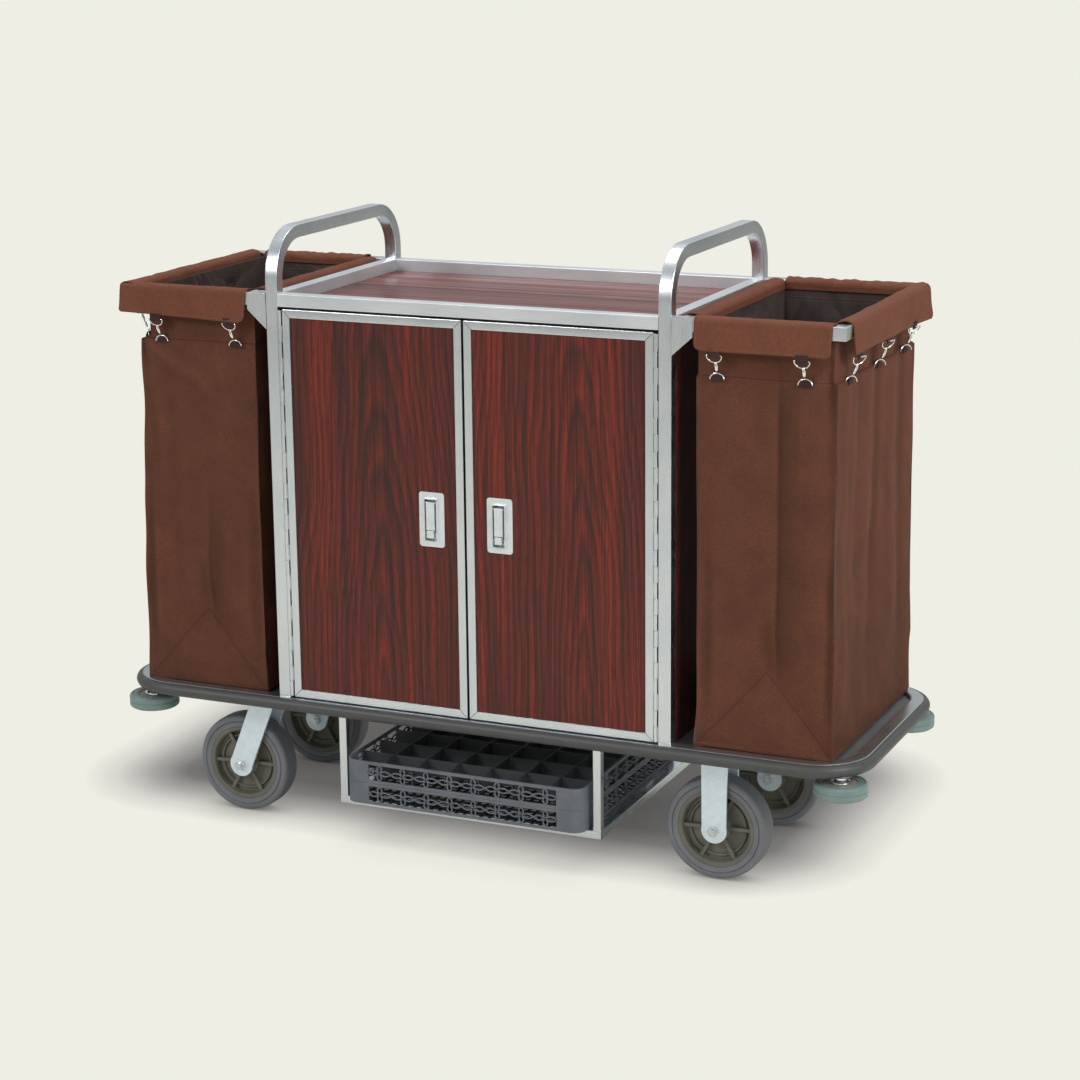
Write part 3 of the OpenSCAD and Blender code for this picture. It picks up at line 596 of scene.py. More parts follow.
def build_frame_tubes():
    for side, word in SIDES:
        x = side * (POST_X - TUBE / 2)
        y, top = POST_Y - TUBE / 2, HANDLE_Z - TUBE / 2
        r = BEND_R - TUBE / 2
        path = [(x, -y, DECK_Z)]
        path += arc((x, -y + r, top - r), -Y, Z, r, 0, 90, 18)
        path += arc((x, y - r, top - r), Y, Z, r, 90, 0, 18)
        path += [(x, y, DECK_Z)]
        tube(f"{word}_handle_tube", path, X, [f"{word}_handle_frame"])

        out_x = side * (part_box("right_bag_frame")[1].x - TUBE / 2)
        z = RAIL_Z - TUBE / 2
        start = side * POST_X
        tube(f"{word}_bag_tube", [(start, -y, z), (out_x, -y, z), (out_x, y, z), (start, y, z)], Z,
             [f"{word}_bag_frame"])
        inner_x = side * (POST_X + 15 * MM + TUBE / 2)
        tube(f"{word}_bag_inner_tube", [(inner_x, -y + TUBE / 2, z), (inner_x, y - TUBE / 2, z)], Z)
        for front in (-1, 1):
            plate = [(0, TUBE), (40 * MM, TUBE), (40 * MM, -8 * MM), (0, -44 * MM)]
            across = X * side
            face_y = front * (POST_Y + 0.6 * MM)
            if (across.cross(Z).y > 0) == (front > 0):
                face_y -= front * 5 * MM
            Mesh().slab(plate, (start, face_y, RAIL_Z - TUBE), across, Z, 5 * MM).make(
                f"{word}_gusset_{'rear' if front > 0 else 'front'}", steel_z, "cart", crease=25)

    z, x = RAIL_Z - TUBE / 2, POST_X - TUBE
    rails = Mesh()
    for y in (-POST_Y + TUBE / 2, POST_Y - TUBE / 2):
        rails.sweep([(-x, y, z), (x, y, z)], SQUARE, Z)
    y = POST_Y - TUBE
    for x in (-POST_X + TUBE / 2, POST_X - TUBE / 2):
        rails.sweep([(x, -y, z), (x, y, z)], SQUARE, Z)
    rails.make("top_rail_tubes", steel_rails, "cart", replaces=["top_rails"], crease=25)


# ---- doors

def build_doors():
    for _, word in SIDES:
        middle, half = middle_and_half(f"{word}_door_frame")
        width = 16 * MM
        outline = rounded_outline(width, 2 * half.y, 1.4 * MM, 2)
        x, z = half.x - width / 2, half.z - width / 2
        corners = [middle + Vector(spot) for spot in ((-x, 0, -z), (x, 0, -z), (x, 0, z), (-x, 0, z))]
        edging = Mesh()
        for k in range(4):
            edging.mitred_bar(corners[k], corners[(k + 1) % 4], outline, Y, 0.65 * MM)
        edging.make(
            f"{word}_door_edging", steel_uv, f"{word}_door",
            replaces=[f"{word}_door_frame"], crease=25)


# ---- bags

CLOTH_T = 2.4 * MM
BAG_T = 1.4 * MM


def smooth(t):
    t = max(0.0, min(1.0, t))
    return t * t * (3 - 2 * t)


def ridge(distance, width):
    """A soft-topped crease: 1 on the line, 0 at its width and beyond."""
    t = max(0.0, 1 - abs(distance) / width)
    return t * t * (2 - t) if t < 1 else 1.0


def crumple(spot):
    """Soft pointed wrinkles: sharp along their crests, about -1 to 1."""
    return 0.6 - 2.2 * abs(noise.noise(spot)) - 0.8 * abs(noise.noise(spot * 2.3 + X * 7))


class Bag:
    """Sizes of one bag, from the tube frame that carries it. Local x grows outward from the cabinet."""

    def __init__(self, side, word):
        self.side, self.word = side, word
        self.out_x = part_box("right_bag_frame")[1].x
        self.in_x = POST_X + 40 * MM
        self.neck_x0, self.neck_x1 = self.in_x + 1 * MM, self.out_x - TUBE - (1.5 if side > 0 else 6) * MM
        self.x0, self.x1 = self.in_x - 1 * MM, self.out_x - TUBE + (7 if side > 0 else 11) * MM
        self.lean = (2 if side > 0 else 17) * MM
        self.y1 = POST_Y - TUBE - 1.5 * MM
        self.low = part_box("right_bag")[0].z
        self.top = RAIL_Z - 6 * MM
        self.seed = 11.3 * side
        self.height = self.top - self.low

    def place(self, point):
        """The point on this bag's side of the cart."""
        return Vector((self.side * point.x, point.y, point.z))

    def corner_lines(self, z):
        """The x of the inner and outer corners and the y of the front and rear ones, at a height."""
        spread = smooth((SEAM_Z + 3 * MM - z) / (7 * MM))
        t = (z - self.low) / self.height
        flare = 4 * MM * smooth((0.10 - t) / 0.10)
        lean = self.lean * smooth((t - 0.1) / 0.9)
        waist = 2.5 * MM * smooth((0.45 - abs(t - 0.30)) / 0.3)
        wave = 2.2 * MM * spread * noise.noise(Vector((self.seed, z * 9, 1.0)))
        x0 = self.neck_x0 + (self.x0 - self.neck_x0) * spread - flare + waist
        x1 = self.neck_x1 + (self.x1 - self.neck_x1) * spread - lean + wave
        return x0, x1, self.y1 + 4 * MM * spread + flare / 2 + wave

    def from_fold(self, a, t):
        """Distance from the front's long upright fold, towards its shaded side, at the height share t."""
        return self.side * (a - (24 if self.side > 0 else -20) * MM - 4 * MM * sin(4 * t + self.seed))

    def fold_share(self, t):
        """How strong that fold is: the right bag's runs up to its seam, the left bag's only halfway."""
        if self.side > 0:
            return smooth((t - 0.14) / 0.16) * smooth((0.93 - t) / 0.14)
        return 0.8 * smooth((t - 0.12) / 0.12) * smooth((0.60 - t) / 0.38)


def fold_height(bag, face, a):
    """Height of the slanted folds above the foot: they run from the middle down to both bottom corners."""
    half, peak = ((bag.x1 - bag.x0) / 2, 0.150) if face in ("front", "back") else (bag.y1, 0.190)
    return peak * (1 - abs(a) / half)


# Long folds of the outer face: place, size, lean and width in millimetres.
SIDE_FOLDS = ((-185, 4, 10, 26), (-120, -4.5, 30, 34), (-55, 5, 10, 36), (12, -8, -30, 34), (85, 8, 20, 50),
              (165, -6, 0, 40))


def body_offset(bag, face, a, z):
    """How far the cloth stands out from its flat face. a runs along the face in metres from its middle,
    outward from the cabinet on the front and rear faces and towards the rear on the outer face."""
    height = z - bag.low
    t = height / bag.height
    depth = 11 * MM
    if face in ("front", "back"):
        half = (bag.x1 - bag.x0) / 2
        beside = bag.from_fold(a, t)
        body = 8.0 * MM * bag.fold_share(t) * ridge(beside, (90 if beside < 0 else 30) * MM)
        pinch = 0.35 + 0.65 * smooth((0.50 - t) / 0.15) + ridge(t - 0.86, 0.10)
        body -= 7.0 * MM * pinch * ridge(half - a - 13 * MM, 15 * MM)
        body -= 5.0 * MM * ridge(a + half - 18 * MM, 22 * MM) * smooth((0.6 - t) / 0.3)
        body -= 3.0 * MM * ridge(a - 62 * MM - 30 * MM * (t - 0.5), 30 * MM) * smooth((0.9 - t) / 0.3)
        if bag.side < 0:
            sling = (a + 30 * MM) * 0.55 - height + 600 * MM
            body += 5.0 * MM * ridge(sling, 34 * MM) * smooth((a + 50 * MM) / (70 * MM))
            body -= 3.5 * MM * ridge(a - 108 * MM + 60 * MM * (0.65 - t), 13 * MM) * ridge(t - 0.63, 0.20)
    else:
        depth = 5 * MM
        body = 0.0
        for place, size, lean, width in SIDE_FOLDS:
            body += size * MM * ridge(a / MM - place - lean * (1 - t), width) * (0.45 + 0.55 * t)
    top = fold_height(bag, face, a)
    crease = -depth * min(top, height) / fold_height(bag, face, 0)
    if height <= top:
        return crease
    return crease + (body - crease) * smooth((height - top) / (130 * MM))


def store(obj, **fields):
    """Writes point values, such as the distance to the hem, for the materials to read."""
    for name, values in fields.items():
        attribute = obj.data.attributes.new(name, "FLOAT", "POINT")
        attribute.data.foreach_set("value", values)


FACES = {"front": (0, -1), "outer": (1, 0), "back": (0, 1), "inner": (-1, 0)}
COLUMNS = {"front": 70, "outer": 90, "back": 50, "inner": 50}
HOLLOW_REACH = 5


def bag_rows(bag):
    """Heights of the rows of points: closer together at the seam and the foot."""
    heights = []
    z = bag.low
    while z < bag.top:
        heights.append(z)
        z += 2.5 * MM if abs(z - SEAM_Z) < 14 * MM or z < bag.low + 10 * MM else 4.5 * MM
    return heights + [bag.top]


def bag_columns(bag):
    """Places round the bag as (face, share of its width): closer together at the corners."""
    around = []
    for face, count in COLUMNS.items():
        span = 2 * bag.y1 if face in ("outer", "inner") else bag.x1 - bag.x0
        near = [k * MM / span for k in (0, 1.2, 3, 6)]
        first, last = near[-1], 1 - near[-1]
        cuts = near + [first + (last - first) * k / count for k in range(1, count)]
        around += [(face, u) for u in cuts + [last] + [1 - k for k in near[-2:0:-1]]]
    return around


def bag_bulge(bag, face, base, reach, ease):
    """How far a point stands out, with its folds and wrinkles, fading to nothing at the corners."""
    spot = base * 6 + X * bag.seed
    calm = 0.55 if face == "front" else 1.0
    d = -4 * MM if face == "inner" else body_offset(bag, face, reach, base.z)
    d += 6.0 * MM * calm * noise.noise(Vector((spot.x, spot.y, spot.z * 0.45)))
    d += 3.6 * MM * calm * noise.noise(Vector((spot.x * 2.6, spot.y * 2.6, spot.z * 1.3 + spot.x + spot.y)))
    d += 1.8 * MM * crumple(spot * 1.5) + 0.35 * MM * noise.noise(spot * 8.0)
    return d * ease * (0.4 if base.z < bag.low + 6 * MM else 1.0)


def bag_hollows(bag, around, swell, rows):
    """Where each point lies below its neighbours, -1 to 1, for the painted shade in the hollows."""
    columns, hollows = len(around), []
    for i in range(rows):
        for j, (face, _) in enumerate(around):
            near = [swell[i * columns + (j + k) % columns] for k in (-HOLLOW_REACH, HOLLOW_REACH)]
            near += [swell[min(rows - 1, max(0, i + k)) * columns + j] for k in (-HOLLOW_REACH, HOLLOW_REACH)]
            soft = 2.6 * MM if face == "front" else 1.8 * MM
            # For the left bag the value is lowered by 0.35, which paints the whole left bag darker: painted
            # shade.
            hollow = (swell[i * columns + j] - sum(near) / 4) / soft - (0.35 if bag.side < 0 else 0.0)
            hollows.append(max(-1.0, min(1.0, hollow)))
    return hollows


def build_bag_body(bag):
    """The hanging tub: an outer cloth skin with a lining, folded like a paper bag at its foot."""
    heights, around = bag_rows(bag), bag_columns(bag)
    verts, flat, folds, arms, swell, gloom, thin = [], [], [], [], [], [], []
    for z in heights:
        x0, x1, y1 = bag.corner_lines(z)
        cx, hx = (x0 + x1) / 2, (x1 - x0) / 2
        t = (z - bag.low) / bag.height
        below = smooth((bag.top - 20 * MM - z) / (90 * MM))
        run, last = 0.0, None
        for face, u in around:
            a, (ox, oy) = 2 * u - 1, FACES[face]
            base, out = Vector((cx + hx * (ox - oy * a), y1 * (oy + ox * a), z)), Vector((ox, oy, 0))
            length, reach = (hx, base.x - cx) if oy else (y1, base.y)
            from_corner = length - abs(reach)
            d = bag_bulge(bag, face, base, reach, smooth(from_corner / (7 * MM)))
            point = base + out * (d * below - 1.0 * MM * (1 - smooth(from_corner / (3 * MM))))
            sway = 3.0 * MM * below * noise.noise(Vector((bag.seed, z * 3.0, 4.0 if oy else 8.0)))
            point.x += sway * (1 if point.x > cx else -0.3)
            verts.append(bag.place(point))
            swell.append(d * below)
            beside = bag.from_fold(reach, t)
            # Painted shadow beside the front's long fold, strongest next to it; on the other faces painted
            # shade, darker towards the bottom.
            fold_shadow = max(0.0, 1 - beside / (38 * MM)) if beside > 0 else max(0.0, 1 + beside / (5 * MM))
            gloom.append(fold_shadow * bag.fold_share(t) if face == "front" else 0.30 * smooth((0.60 - t) / 0.45))
            thin.append(0.12 + 0.88 * smooth((from_corner - 2 * MM) / (8 * MM)))
            run += (base - last).length if last is not None else 0.0
            last = base
            flat.append((run, z))
            # Painted highlight along the corner edges below the seam, read by the cloth through the fold
            # attribute.
            folds.append(0.55 * (1 - smooth(from_corner / (1.5 * MM))) if z < SEAM_Z else 0.0)
            arms.append(1.0 if face == "inner" else fold_height(bag, face, reach) - (z - bag.low))
    rows, columns = len(heights), len(around)
    faces = grid_faces(rows, columns, False, True) + [tuple(range(columns))[::-1]]
    if bag.side < 0:
        faces = [f[::-1] for f in faces]
    uvs, total = [], flat[-1][0] + 6 * MM
    for f in faces[:-1]:
        rights = max(flat[v][0] for v in f)
        for v in f:
            u, w = flat[v]
            uvs.append((u + total if rights - u > total / 2 else u, w))
    uvs += [(verts[v].x, verts[v].y) for v in faces[-1]]
    obj = piece(f"{bag.word}_bag_body", verts, faces, cloth, "cart", uvs=uvs,
                replaces=[f"{bag.word}_bag"], crease=75, extra=(lining,))
    store(obj, fold=folds, slant=arms, shade=bag_hollows(bag, around, swell, rows), gloom=gloom)
    group = obj.vertex_groups.new(name="thickness")
    for v, weight in enumerate(thin):
        group.add([v], weight, "REPLACE")
    skin = obj.modifiers.new("lined", "SOLIDIFY")
    skin.vertex_group = "thickness"
    skin.thickness = BAG_T
    skin.offset = -1
    skin.use_quality_normals = True
    skin.material_offset = 1


def flap(bag, where, start, stop, origin, along, out, drops, gathers, ends=(13 * MM, 13 * MM), tilt=(0, 0)):
    """A strip folded over a tube: an inner leg, a roll over the top and an outer leg down to its hem.
    start..stop run along the tube; drops gives the hem's depth at both ends; gathers ruffles the roll;
    ends rounds the hem's corners and tilt slants its sides."""
    origin = Vector(origin)
    half, roll, inner, inner_leg = TUBE / 2 + 2.0 * MM, 9 * MM, -TUBE / 2 - 6.2 * MM, 19 * MM
    steps = 66

    def quarter(centre, turn):
        turns = [radians(turn - 90 * k / 8) for k in range(1, 8)]
        return [(centre + roll * cos(t), roll * (sin(t) - 1), 0) for t in turns]

    profile = [(inner, -inner_leg + (inner_leg - roll) * k / 8, -1) for k in range(9)]
    profile += quarter(inner + roll, 180) + [(inner + roll, 0, 0), (0, 1.5 * MM, 0), (half - roll, 0, 0)]
    profile += quarter(half - roll, 90) + [(half, None, k / 14) for k in range(15)]
    verts, edge, run = [], [], []
    for a, h, leg in profile:
        for j in range(steps + 1):
            u = j / steps
            drop = drops[0] + (drops[1] - drops[0]) * u
            level = h if h is not None else -roll - (drop - roll) * leg
            to_hem = drop + level if leg > 0 else level + inner_leg if leg < 0 else 1.0
            lean, cut, puff, rise = 0.0, [0.0, 0.0], 0.0, 0.0
            if leg > 0:
                lean = max(0.0, -level) * (tilt[0] * (1 - u) - tilt[1] * u)
                cut = [r - sqrt(max(0.0, r * r - max(0.0, r - to_hem) ** 2)) for r in ends]
            low, high = start + cut[0], stop - cut[1]
            s = low + (high - low) * u + lean
            spot = Vector((s * 9 + bag.seed, level * 12, a * 30 + origin.y))
            if leg > 0:
                depth = -level / drops[0]
                puff = 0.7 * MM * noise.noise(spot * 4.0) + 2.5 * MM * depth * depth * abs(2 * u - 1) ** 6
                puff += depth * (3.2 * MM * noise.noise(spot * 1.1) + 1.6 * MM)
            elif leg < 0:
                puff = 1.2 * MM * noise.noise(spot * 1.7)
            else:
                rise = 1.2 * MM * gathers * noise.noise(Vector((s * 70 + bag.seed, a * 60, 3.0)))
                rise += 1.0 * MM * gathers * noise.noise(Vector((s * 22, 1.0, bag.seed)))
                rise += 0.8 * MM * noise.noise(Vector((s * 8, 5.0, bag.seed)))
            verts.append(bag.place(origin + along * s + out * (a + puff) + Z * (level + rise)))
            sides = min(s - start, stop - s)
            edge.append(min(to_hem, max(0.0, sides) if leg > 0 else 1.0))
            run.append(s if to_hem < sides or leg < 0 else level)
    rows, columns = len(profile), steps + 1
    faces = grid_faces(rows, columns)
    if along.cross(out).z * bag.side > 0:
        faces = [f[::-1] for f in faces]
    reach = [0.0]
    for _, h, _ in profile[1:]:
        reach.append(reach[-1] + (4 if h is None else 3) * MM)
    uvs = [(start + (v % columns) / steps * (stop - start), reach[v // columns]) for f in faces for v in f]
    obj = piece(f"{bag.word}_bag_flap_{where}", verts, faces, flap_cloth_painted_light, "cart", uvs=uvs, crease=80)
    store(obj, edge=edge, along=run)
    skin = obj.modifiers.new("thick", "SOLIDIFY")
    skin.thickness = CLOTH_T
    skin.offset = 0
    skin.use_rim = True


def build_flaps(bag):
    """Four flaps a bag; the left bag's front and outer ones are cut to other lengths than the right's."""
    z, y, hem = RAIL_Z + 2 * MM, POST_Y - TUBE / 2, 58 * MM
    if bag.side > 0:
        front, rear, outer = 25 * MM, 8 * MM, (24 * MM, 9 * MM)
        slope, ends, tilt = 0.0, (13 * MM, 10 * MM), (0.0, 0.04)
    else:
        front, rear, outer = 2 * MM, 42 * MM, (-8 * MM, -16 * MM)
        slope, ends, tilt = 4 * MM, (13 * MM, 5 * MM), (0.08, -0.06)
    flap(bag, "front", bag.in_x + 3 * MM, bag.out_x - front, (0, -y, z), X, -Y,
         (hem + slope, hem - slope), 0.5, ends, tilt)
    flap(bag, "rear", bag.in_x + 5 * MM, bag.out_x - rear, (0, y, z), X, Y, (hem, hem), 2.0)
    flap(bag, "outer", -y + outer[0], y + outer[1], (bag.out_x - TUBE / 2, 0, z + 1.2 * MM), Y, X,
         (hem, hem + 6 * MM), 0.9)
    flap(bag, "inner", -y + 22 * MM, y - 22 * MM, (bag.in_x - TUBE / 2, 0, z), Y, -X,
         (hem * 0.8, hem * 0.8), 0.5)


# ---- snap hooks between flap and bag

def build_clips(bag):
    """A sewn tab with a D-ring under the flap, a swivel link, and a half-moon loop on the bag's seam."""
    top, wire_r = RAIL_Z - 63 * MM, 1.25 * MM
    places = []
    for x in (bag.in_x + 41 * MM, bag.out_x - 79 * MM):
        for out in (-Y, Y):
            places.append((X * x + out * (POST_Y + 3 * MM) + Z * top, out, X, 14 * MM))
    for y in (-0.85, -0.05, 0.72):
        places.append((Vector((bag.out_x + 2 * MM, y * 218 * MM, top)), X, Y, 9 * MM))
    metal, tabs = Mesh(), Mesh()

    def add(path, radius, closed=False):
        metal.wire([bag.place(p) for p in path], radius, closed)

    moon_tab = [(13 * MM * cos(radians(t)), 11 * MM * sin(radians(t)) - 3 * MM) for t in range(0, 181, 15)]
    ring_tab = [(a * MM, b * MM) for a, b in ((-11.5, -3.5), (11.5, -3.5), (11.5, 11), (-11.5, 11))]
    for spot, out, along, lean in places:
        foot = spot - out * (lean + 8 * MM) - Z * 46 * MM
        down = (foot - spot).normalized()
        foot += along * 2.5 * MM * noise.noise(spot * 40)
        if out == X:
            along = (along * 0.86 + out * 0.5).normalized()
        add(arc(spot, along, down, 14.5 * MM, 0, 180, 20), wire_r, True)
        knot = spot + down * 13.5 * MM
        add([knot - down * 1.5 * MM, knot + down * 3.0 * MM], 2.4 * MM)
        link = knot + down * 2 * MM
        turns = [2 * pi * k / 18 for k in range(18)]
        add([link + along * 3.6 * MM * sin(t) * (0.55 + 0.45 * cos(t / 2)) + down * 8.5 * MM * (1 - cos(t))
             for t in turns], wire_r, True)
        add([link + down * k * MM - out * 1 * MM for k in (7, 17.5)], 1.9 * MM)
        add(arc(foot + out * 1.5 * MM, along, Z * 0.85, 13.4 * MM, 0, 180, 20), wire_r)
        flat_out = bag.place(out)
        across = Z.cross(flat_out)
        tabs.slab(moon_tab, bag.place(foot) - flat_out * 1 * MM, across, Z, 2.2 * MM)
        tabs.slab(ring_tab, bag.place(spot) - flat_out * 0.7 * MM, across, Z, 2.4 * MM)
    metal.make(f"{bag.word}_bag_hooks", chrome, "cart", replaces=[f"{bag.word}_bag_clips"], crease=50)
    tabs.make(f"{bag.word}_bag_tabs", tab_cloth, "cart")


# ---- glass rack

def lens(length, width, steps=10):
    """A pointed petal from the origin along +a, as a closed loop."""
    up = [(length * k / steps, width / 2 * sin(pi * k / steps)) for k in range(steps + 1)]
    return up + [(a, -b) for a, b in up[-2:0:-1]]


def build_rack_tier(node):
    """One tier: two bands, plain corners, four open petal lattices and the cells inside."""
    low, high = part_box(node)
    centre, half, radius, wall = (low + high) / 2, (high.x - low.x) / 2, 25 * MM, 3 * MM
    pitch, band = 50 * MM, 6.5 * MM
    tier = Mesh()
    for z, thick in ((low.z + band / 2, wall), (high.z - band / 2, wall + 1.5 * MM)):
        path = level_loop(centre, 2 * half - thick, 2 * half - thick, radius - thick / 2, z, 8)
        tier.sweep(path, rounded_outline(thick, band, 0.8 * MM, 2), Z, closed=True)
    tall, z, span = high.z - low.z - 2 * band, centre.z, half - radius
    block = span - 4 * pitch + 2 * MM
    for sx, sy, start in CORNERS:
        ways = [Vector((cos(t), sin(t), 0)) for t in (radians(start), radians(start + 90))]
        corner = centre + Vector((sx * span, sy * span, 0))
        bend = arc(corner, X, Y, radius - wall / 2, start, start + 90, 8)
        path = [bend[0] - ways[1] * block] + bend + [bend[-1] - ways[0] * block]
        tier.sweep(path, rounded_outline(wall, tall + 1 * MM, 0.6 * MM, 1), Z)
    strand = rounded_outline(2.6 * MM, wall, 0.6 * MM, 1)
    rise = tall / 2 + 1 * MM
    for turn in range(4):
        spin = Matrix.Rotation(pi / 2 * turn, 3, "Z")
        out, across = spin @ -Y, spin @ X
        petals = ((across, Z, pitch / 2), (-across, Z, pitch / 2), (Z, across, rise), (-Z, across, rise))
        for i in range(8):
            place = centre + out * (half - wall / 2) + across * ((i - 3.5) * pitch)
            for a, b, length in petals:
                loop = [place + a * u + b * v for u, v in lens(length, 9.5 * MM)]
                tier.sweep(loop, strand, a.cross(b), closed=True)
    tier.make(f"{node}_moulding", rack_plastic, "rack", replaces=[node], crease=35)

    cells, inner = Mesh(), half - wall

    def lattice(count, half_wall, base_z, top_z):
        for i in range(1, count):
            offset = (2 * i / count - 1) * inner
            for x, y, half_x, half_y in ((0, offset, inner, half_wall), (offset, 0, half_wall, inner)):
                x, y = centre.x + x, centre.y + y
                cells.box((x - half_x, y - half_y, base_z), (x + half_x, y + half_y, top_z))

    if node == "rack_extender":
        lattice(7, 1.2 * MM, low.z + 4 * MM, high.z - 6 * MM)
    else:
        lattice(7, 1.2 * MM, low.z, low.z + 4 * MM)
        lattice(28, 1.5 * MM, low.z + 0.5 * MM, low.z + 4.5 * MM)
    # The cells take the darker copies of the rack plastic, painted shade.
    cells.make(f"{node}_cells", rack_inside_painted_shade if node == "rack_extender" else rack_floor_painted_shade, "rack")


# ---- wheels and rollers

def build_wheel(word):
    centre, size = middle_and_half(f"{word}_tread")
    r, half, hub_r, body = size.z / MM, size.y / MM, 76, f"{word}_wheel"
    tyre = [(hub_r, 2 - half), (hub_r + 8, 1 - half), (r - 15, -half), (r - 13.5, 2 - half), (r - 12, -half),
            (r - 7, -half), (r - 3, 1.6 - half), (r - 0.8, 5 - half), (r, 10 - half)]
    Mesh().lathe(turned(tyre), centre, Y, 128).make(
        f"{word}_tyre", tyre_rubber, body, replaces=[f"{word}_tread"], crease=40)

    face = half - 1.5
    side = [(6.2, half + 2.5), (15, half + 2.5), (16.5, half + 1), (18, half - 9), (27, half - 11),
            (28, 5), (52, 5), (54, 10), (57, 10), (59, 5), (64, 6),
            (67, face - 2), (69, face), (75, face), (hub_r, face - 1)]
    hub = Mesh().lathe(turned(side), centre, Y, 96)
    fin = [(18, 9 - half), (27, 10 - half), (64, 8 - half), (68, 8 - half), (68, -2), (18, -2)]
    fin_t = 6.8 * MM
    for k in range(6):
        t = pi / 3 * k + 0.03
        spoke, across = X * cos(t) + Z * sin(t), Z * cos(t) - X * sin(t)
        for sign in (1, -1):
            outline = [(a * MM, sign * b * MM) for a, b in fin][::sign]
            hub.slab(outline, centre - across * fin_t / 2, spoke, Y, fin_t)
    hub.make(f"{word}_hub_moulding", hub_plastic, body, replaces=[f"{word}_hub"], crease=30)


def build_roller(word):
    body = f"{word}_roller"
    centre, size = middle_and_half(body)
    r, half, core = size.x / MM, size.z / MM, 0.66 * size.x / MM
    rim = [(core, 1 - half), (core + 2, -half), (r - 8, -half), (r - 7, 1.4 - half), (r - 6, -half),
           (r - 4, 0.3 - half), (r - 0.8, 3 - half), (r, 6 - half), (r - 0.3, -1.2), (r - 1, -0.6)]
    Mesh().lathe(turned(rim), centre, Z, 96).make(
        f"{body}_tyre", roller_rubber, body, replaces=[body], crease=30)
    side = [(6.2, half - 2), (core - 3, half - 2), (core - 2, half - 0.5), (core, half - 0.5)]
    Mesh().lathe(turned(side), centre, Z, 64).make(f"{body}_core", roller_core, body, crease=30)


def build_roller_bolts():
    """A domed cap, a stud and a nut for each corner roller."""
    bolts = Mesh()
    low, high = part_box("roller_bolts")
    nut = [(10 * MM * cos(pi / 3 * k), 10 * MM * sin(pi / 3 * k)) for k in range(6)]
    for word in ENDS:
        centre, size = middle_and_half(f"{word}_roller")
        half, top, foot = size.z / MM, (high.z - centre.z) / MM, (low.z - centre.z) / MM
        cap = [(0.3, half - 1), (19, half - 1), (18.5, half + 1), (16, half + 3.2), (12, half + 5),
               (11.5, top), (0.3, top)]
        stud = [(0.3, foot), (5.4, foot), (6, foot + 0.6), (6, half), (0.3, half)]
        for profile, segments in ((cap, 48), (stud, 32)):
            bolts.lathe([(a * MM, b * MM) for a, b in profile], centre, Z, segments)
        bolts.slab(nut, (centre.x, centre.y, centre.z - size.z - 5 * MM), X, Y, 6 * MM)
    bolts.make("roller_bolt_set", chrome, "cart", replaces=["roller_bolts"], crease=30)


def build_carrier():
    """The hanging cradle of small square tube, with a ledge along both sides for the rack's foot."""
    low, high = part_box("rack_carrier")
    size = 16 * MM
    h, ledge = size / 2, 13 * MM
    outline = rounded_outline(size, size, 1.6 * MM, 2)
    carrier = Mesh()
    for x in (low.x + h, high.x - h):
        for y in (low.y + h, high.y - h):
            carrier.sweep([(x, y, low.z + size), (x, y, high.z)], outline, X)
        carrier.sweep([(x, low.y + size, low.z + h), (x, high.y - size, low.z + h)], outline, Z)
    for y in (low.y + h, high.y - h):
        carrier.sweep([(low.x, y, low.z + h), (high.x, y, low.z + h)], outline, Z)
    for x in (low.x + size - 1 * MM, high.x - size + 1 * MM - ledge):
        carrier.box((x, low.y + size, low.z + size - 2 * MM), (x + ledge, high.y - size, low.z + size))
    carrier.make("rack_carrier_tubes", steel_uv, "cart", replaces=["rack_carrier"], crease=25)


def build_rim_skin():
    """The bent rim tube's rounded upper edges, a hair proud of the plain rim under it."""
    centre, half = middle_and_half("deck_frame")
    rim, corner = 26 * MM, 100 * MM
    path = level_loop(centre, 2 * half.x - rim, 2 * half.y - rim, corner - rim / 2, DECK_Z - 2.2 * MM, 16)
    Mesh().sweep(path, rounded_outline(rim - 0.6 * MM, 6 * MM, 2.8 * MM), Z, closed=True).make(
        "deck_rim_skin", steel_rim, "cart", crease=50)


# ---- put it together

build_frame_tubes()
build_doors()
build_carrier()
build_rim_skin()
for each in (Bag(*side) for side in SIDES):
    build_bag_body(each)
    build_flaps(each)
    build_clips(each)
for tier_node in ("rack_base", "rack_extender"):
    build_rack_tier(tier_node)
for corner in ENDS:
    build_wheel(corner)
    build_roller(corner)
build_roller_bolts()

paint(steel_x, "shelf_rails")
paint(steel_deck, "deck_frame", "deck_tray")
paint(steel_z, "fixed_hinge_leaves", "left_hinge_leaf", "right_hinge_leaf", "hinge_pins")
paint(bumper_rubber, "deck_bumper")
paint(wood_top, "top_panel", "shelf")
paint(wood_side, "left_side_panel", "right_side_panel", "back_panel")
paint(wood_left, "left_door_panel")
paint(wood_right, "right_door_panel")
for side_word in ("left", "right"):
    paint(latch_metal, *(f"{side_word}_latch_{part}" for part in ("plate", "lever", "button")))
    paint(zinc, f"{side_word}_latch_bolt")
paint(zinc, "swivel_plates", "front_left_fork", "rear_left_fork", "rigid_forks", "caster_bolts")
paint(dark_chrome, "front_left_axle", "rear_left_axle", "rigid_axles")


# ---- studio

PALE = (0.855, 0.855, 0.776)


def show(obj):
    bpy.context.scene.collection.objects.link(obj)


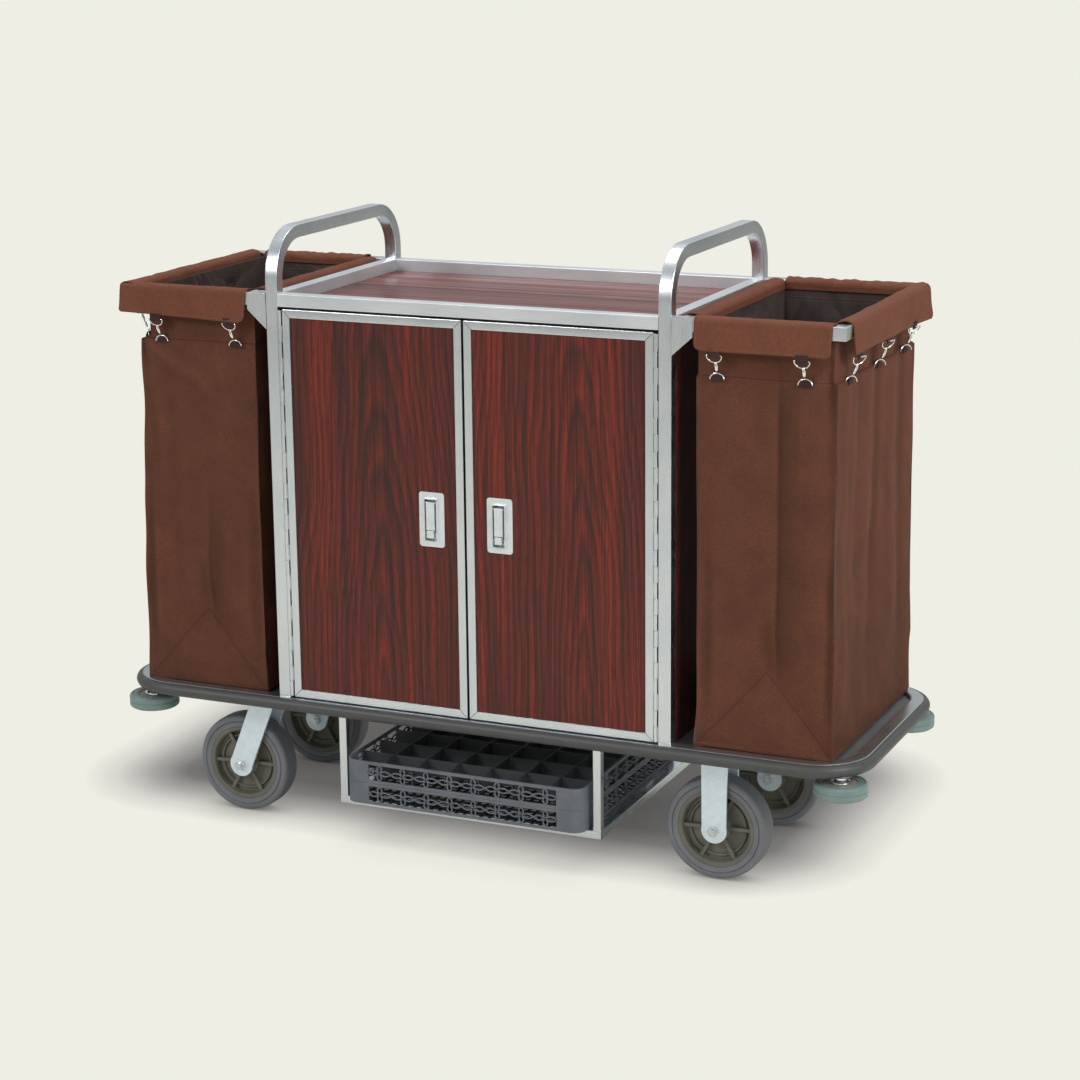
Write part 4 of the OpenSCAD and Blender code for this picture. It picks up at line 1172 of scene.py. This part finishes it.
def build_floor():
    """A pale floor that fades into the surround. The camera sees the cart's soft shadow painted on it, as
    a pool round a rounded rectangle, with a contact shadow on top."""
    s = Shader("studio_floor")
    grain = s.noise(s.coords("Object"), 3.0, 2)
    s.set(Base_Color=s.ramp(grain, (0.0, (0.84, 0.84, 0.765)), (1.0, (0.85, 0.85, 0.775))), Roughness=1.0,
          Specular_IOR_Level=0.0)
    covered = s.add("AmbientOcclusion", samples=12)
    s.plug(0.16, covered.inputs["Distance"])
    contact = s.ramp(covered.outputs["AO"], (0.10, 0.30), (0.50, 0.72), (0.85, 1.0))
    place = s.split(s.coords("Object"))
    beyond = []
    for axis, middle, half in ((0, -0.135, 0.585), (1, 0.235, 0.215)):
        beyond.append(s.math("MAXIMUM", s.minus(s.size(s.minus(place[axis], middle)), half), 0.0))
    beyond = s.math("SQRT", s.plus(*(s.times(k, k) for k in beyond)))
    pool = s.ramp(
        s.math("DIVIDE", beyond, 0.29),
        (0.0, (0.128, 0.122, 0.120)), (0.25, (0.195, 0.188, 0.183)), (0.50, (0.40, 0.392, 0.375)),
        (0.75, (0.68, 0.675, 0.625)), (1.0, PALE))
    seen = s.glow("Emission", s.mix(1.0, pool, contact, "MULTIPLY"))
    s.plug(s.by_ray("Camera", s.bsdf.outputs[0], seen), s.tree.nodes["Material Output"].inputs["Surface"])
    size = 8.0
    spots = [(-size, -size, 0), (size, -size, 0), (size, size, 0), (-size, size, 0)]
    mesh = bpy.data.meshes.new("floor")
    mesh.from_pydata(spots, [], [(0, 1, 2, 3)])
    mesh.materials.append(s.material)
    show(bpy.data.objects.new("floor", mesh))


def build_world():
    """Even and pale to the camera, banded and patchy in reflections, a soft sky as light."""
    world = bpy.data.worlds.new("studio")
    bpy.context.scene.world = world
    w = Nodes(world)
    where = w.add("TexCoord").outputs["Generated"]
    height = w.split(where)["Z"]
    sky = w.ramp(height, (0.30, (0.60, 0.60, 0.56)), (0.85, (0.95, 0.97, 0.96)))
    levels = ((0.0, 0.36), (0.10, 0.50), (0.24, 1.00), (0.38, 0.55), (0.58, 1.05), (0.80, 0.62), (1.0, 0.95))
    bands = w.ramp(height, *((place, (0.97 * k, k, 1.01 * k)) for place, k in levels))
    patches = w.ramp(w.noise(where, 1.7, 2.0, 0.5), (0.38, 0.62), (0.60, 1.0))
    mirrored = w.glow("Background", w.mix(1.0, bands, patches, "MULTIPLY"), 0.95)
    light = w.by_ray("Glossy", w.glow("Background", sky, 0.52), mirrored)
    seen = w.glow("Background", (*PALE, 1))
    w.plug(w.by_ray("Camera", light, seen), w.tree.nodes["World Output"].inputs["Surface"])
    w.tree.nodes.remove(w.tree.nodes["Background"])
    bpy.context.scene.view_settings.view_transform = "Standard"


def place_lights():
    """Three softboxes: name, place, target, power, width, height."""
    for name, place, target, power, width, height in (
            ("key", (-2.6, -4.6, 3.4), (0, 0, 0.6), 86, 1.5, 1.2),
            ("fill", (3.6, -1.5, 2.5), (0.2, 0, 0.7), 77, 1.6, 1.6),
            ("top", (0, 0.6, 4.2), (0, 0, 0.6), 60, 3.0, 2.0)):
        light = bpy.data.lights.new(name, "AREA")
        light.shape = "RECTANGLE"
        light.size, light.size_y = width, height
        light.energy = power
        obj = bpy.data.objects.new(name, light)
        obj.location = place
        obj.rotation_euler = (Vector(target) - Vector(place)).to_track_quat("-Z", "Y").to_euler()
        show(obj)


def place_camera():
    data = bpy.data.cameras.new("camera")
    data.lens, data.sensor_width, data.clip_end = 88.04, 36, 100
    azimuth, elevation, roll = radians(24.0), radians(14.05), radians(-0.6)
    turns = ((azimuth, "Z"), (pi / 2 - elevation, "X"), (roll, "Z"))
    camera = bpy.data.objects.new("camera", data)
    camera.matrix_world = Matrix.Translation((2.0707, -4.5694, 1.8271))
    for angle, axis in turns:
        camera.matrix_world @= Matrix.Rotation(angle, 4, axis)
    show(camera)
    bpy.context.scene.camera = camera


build_floor()
build_world()
place_lights()
place_camera()
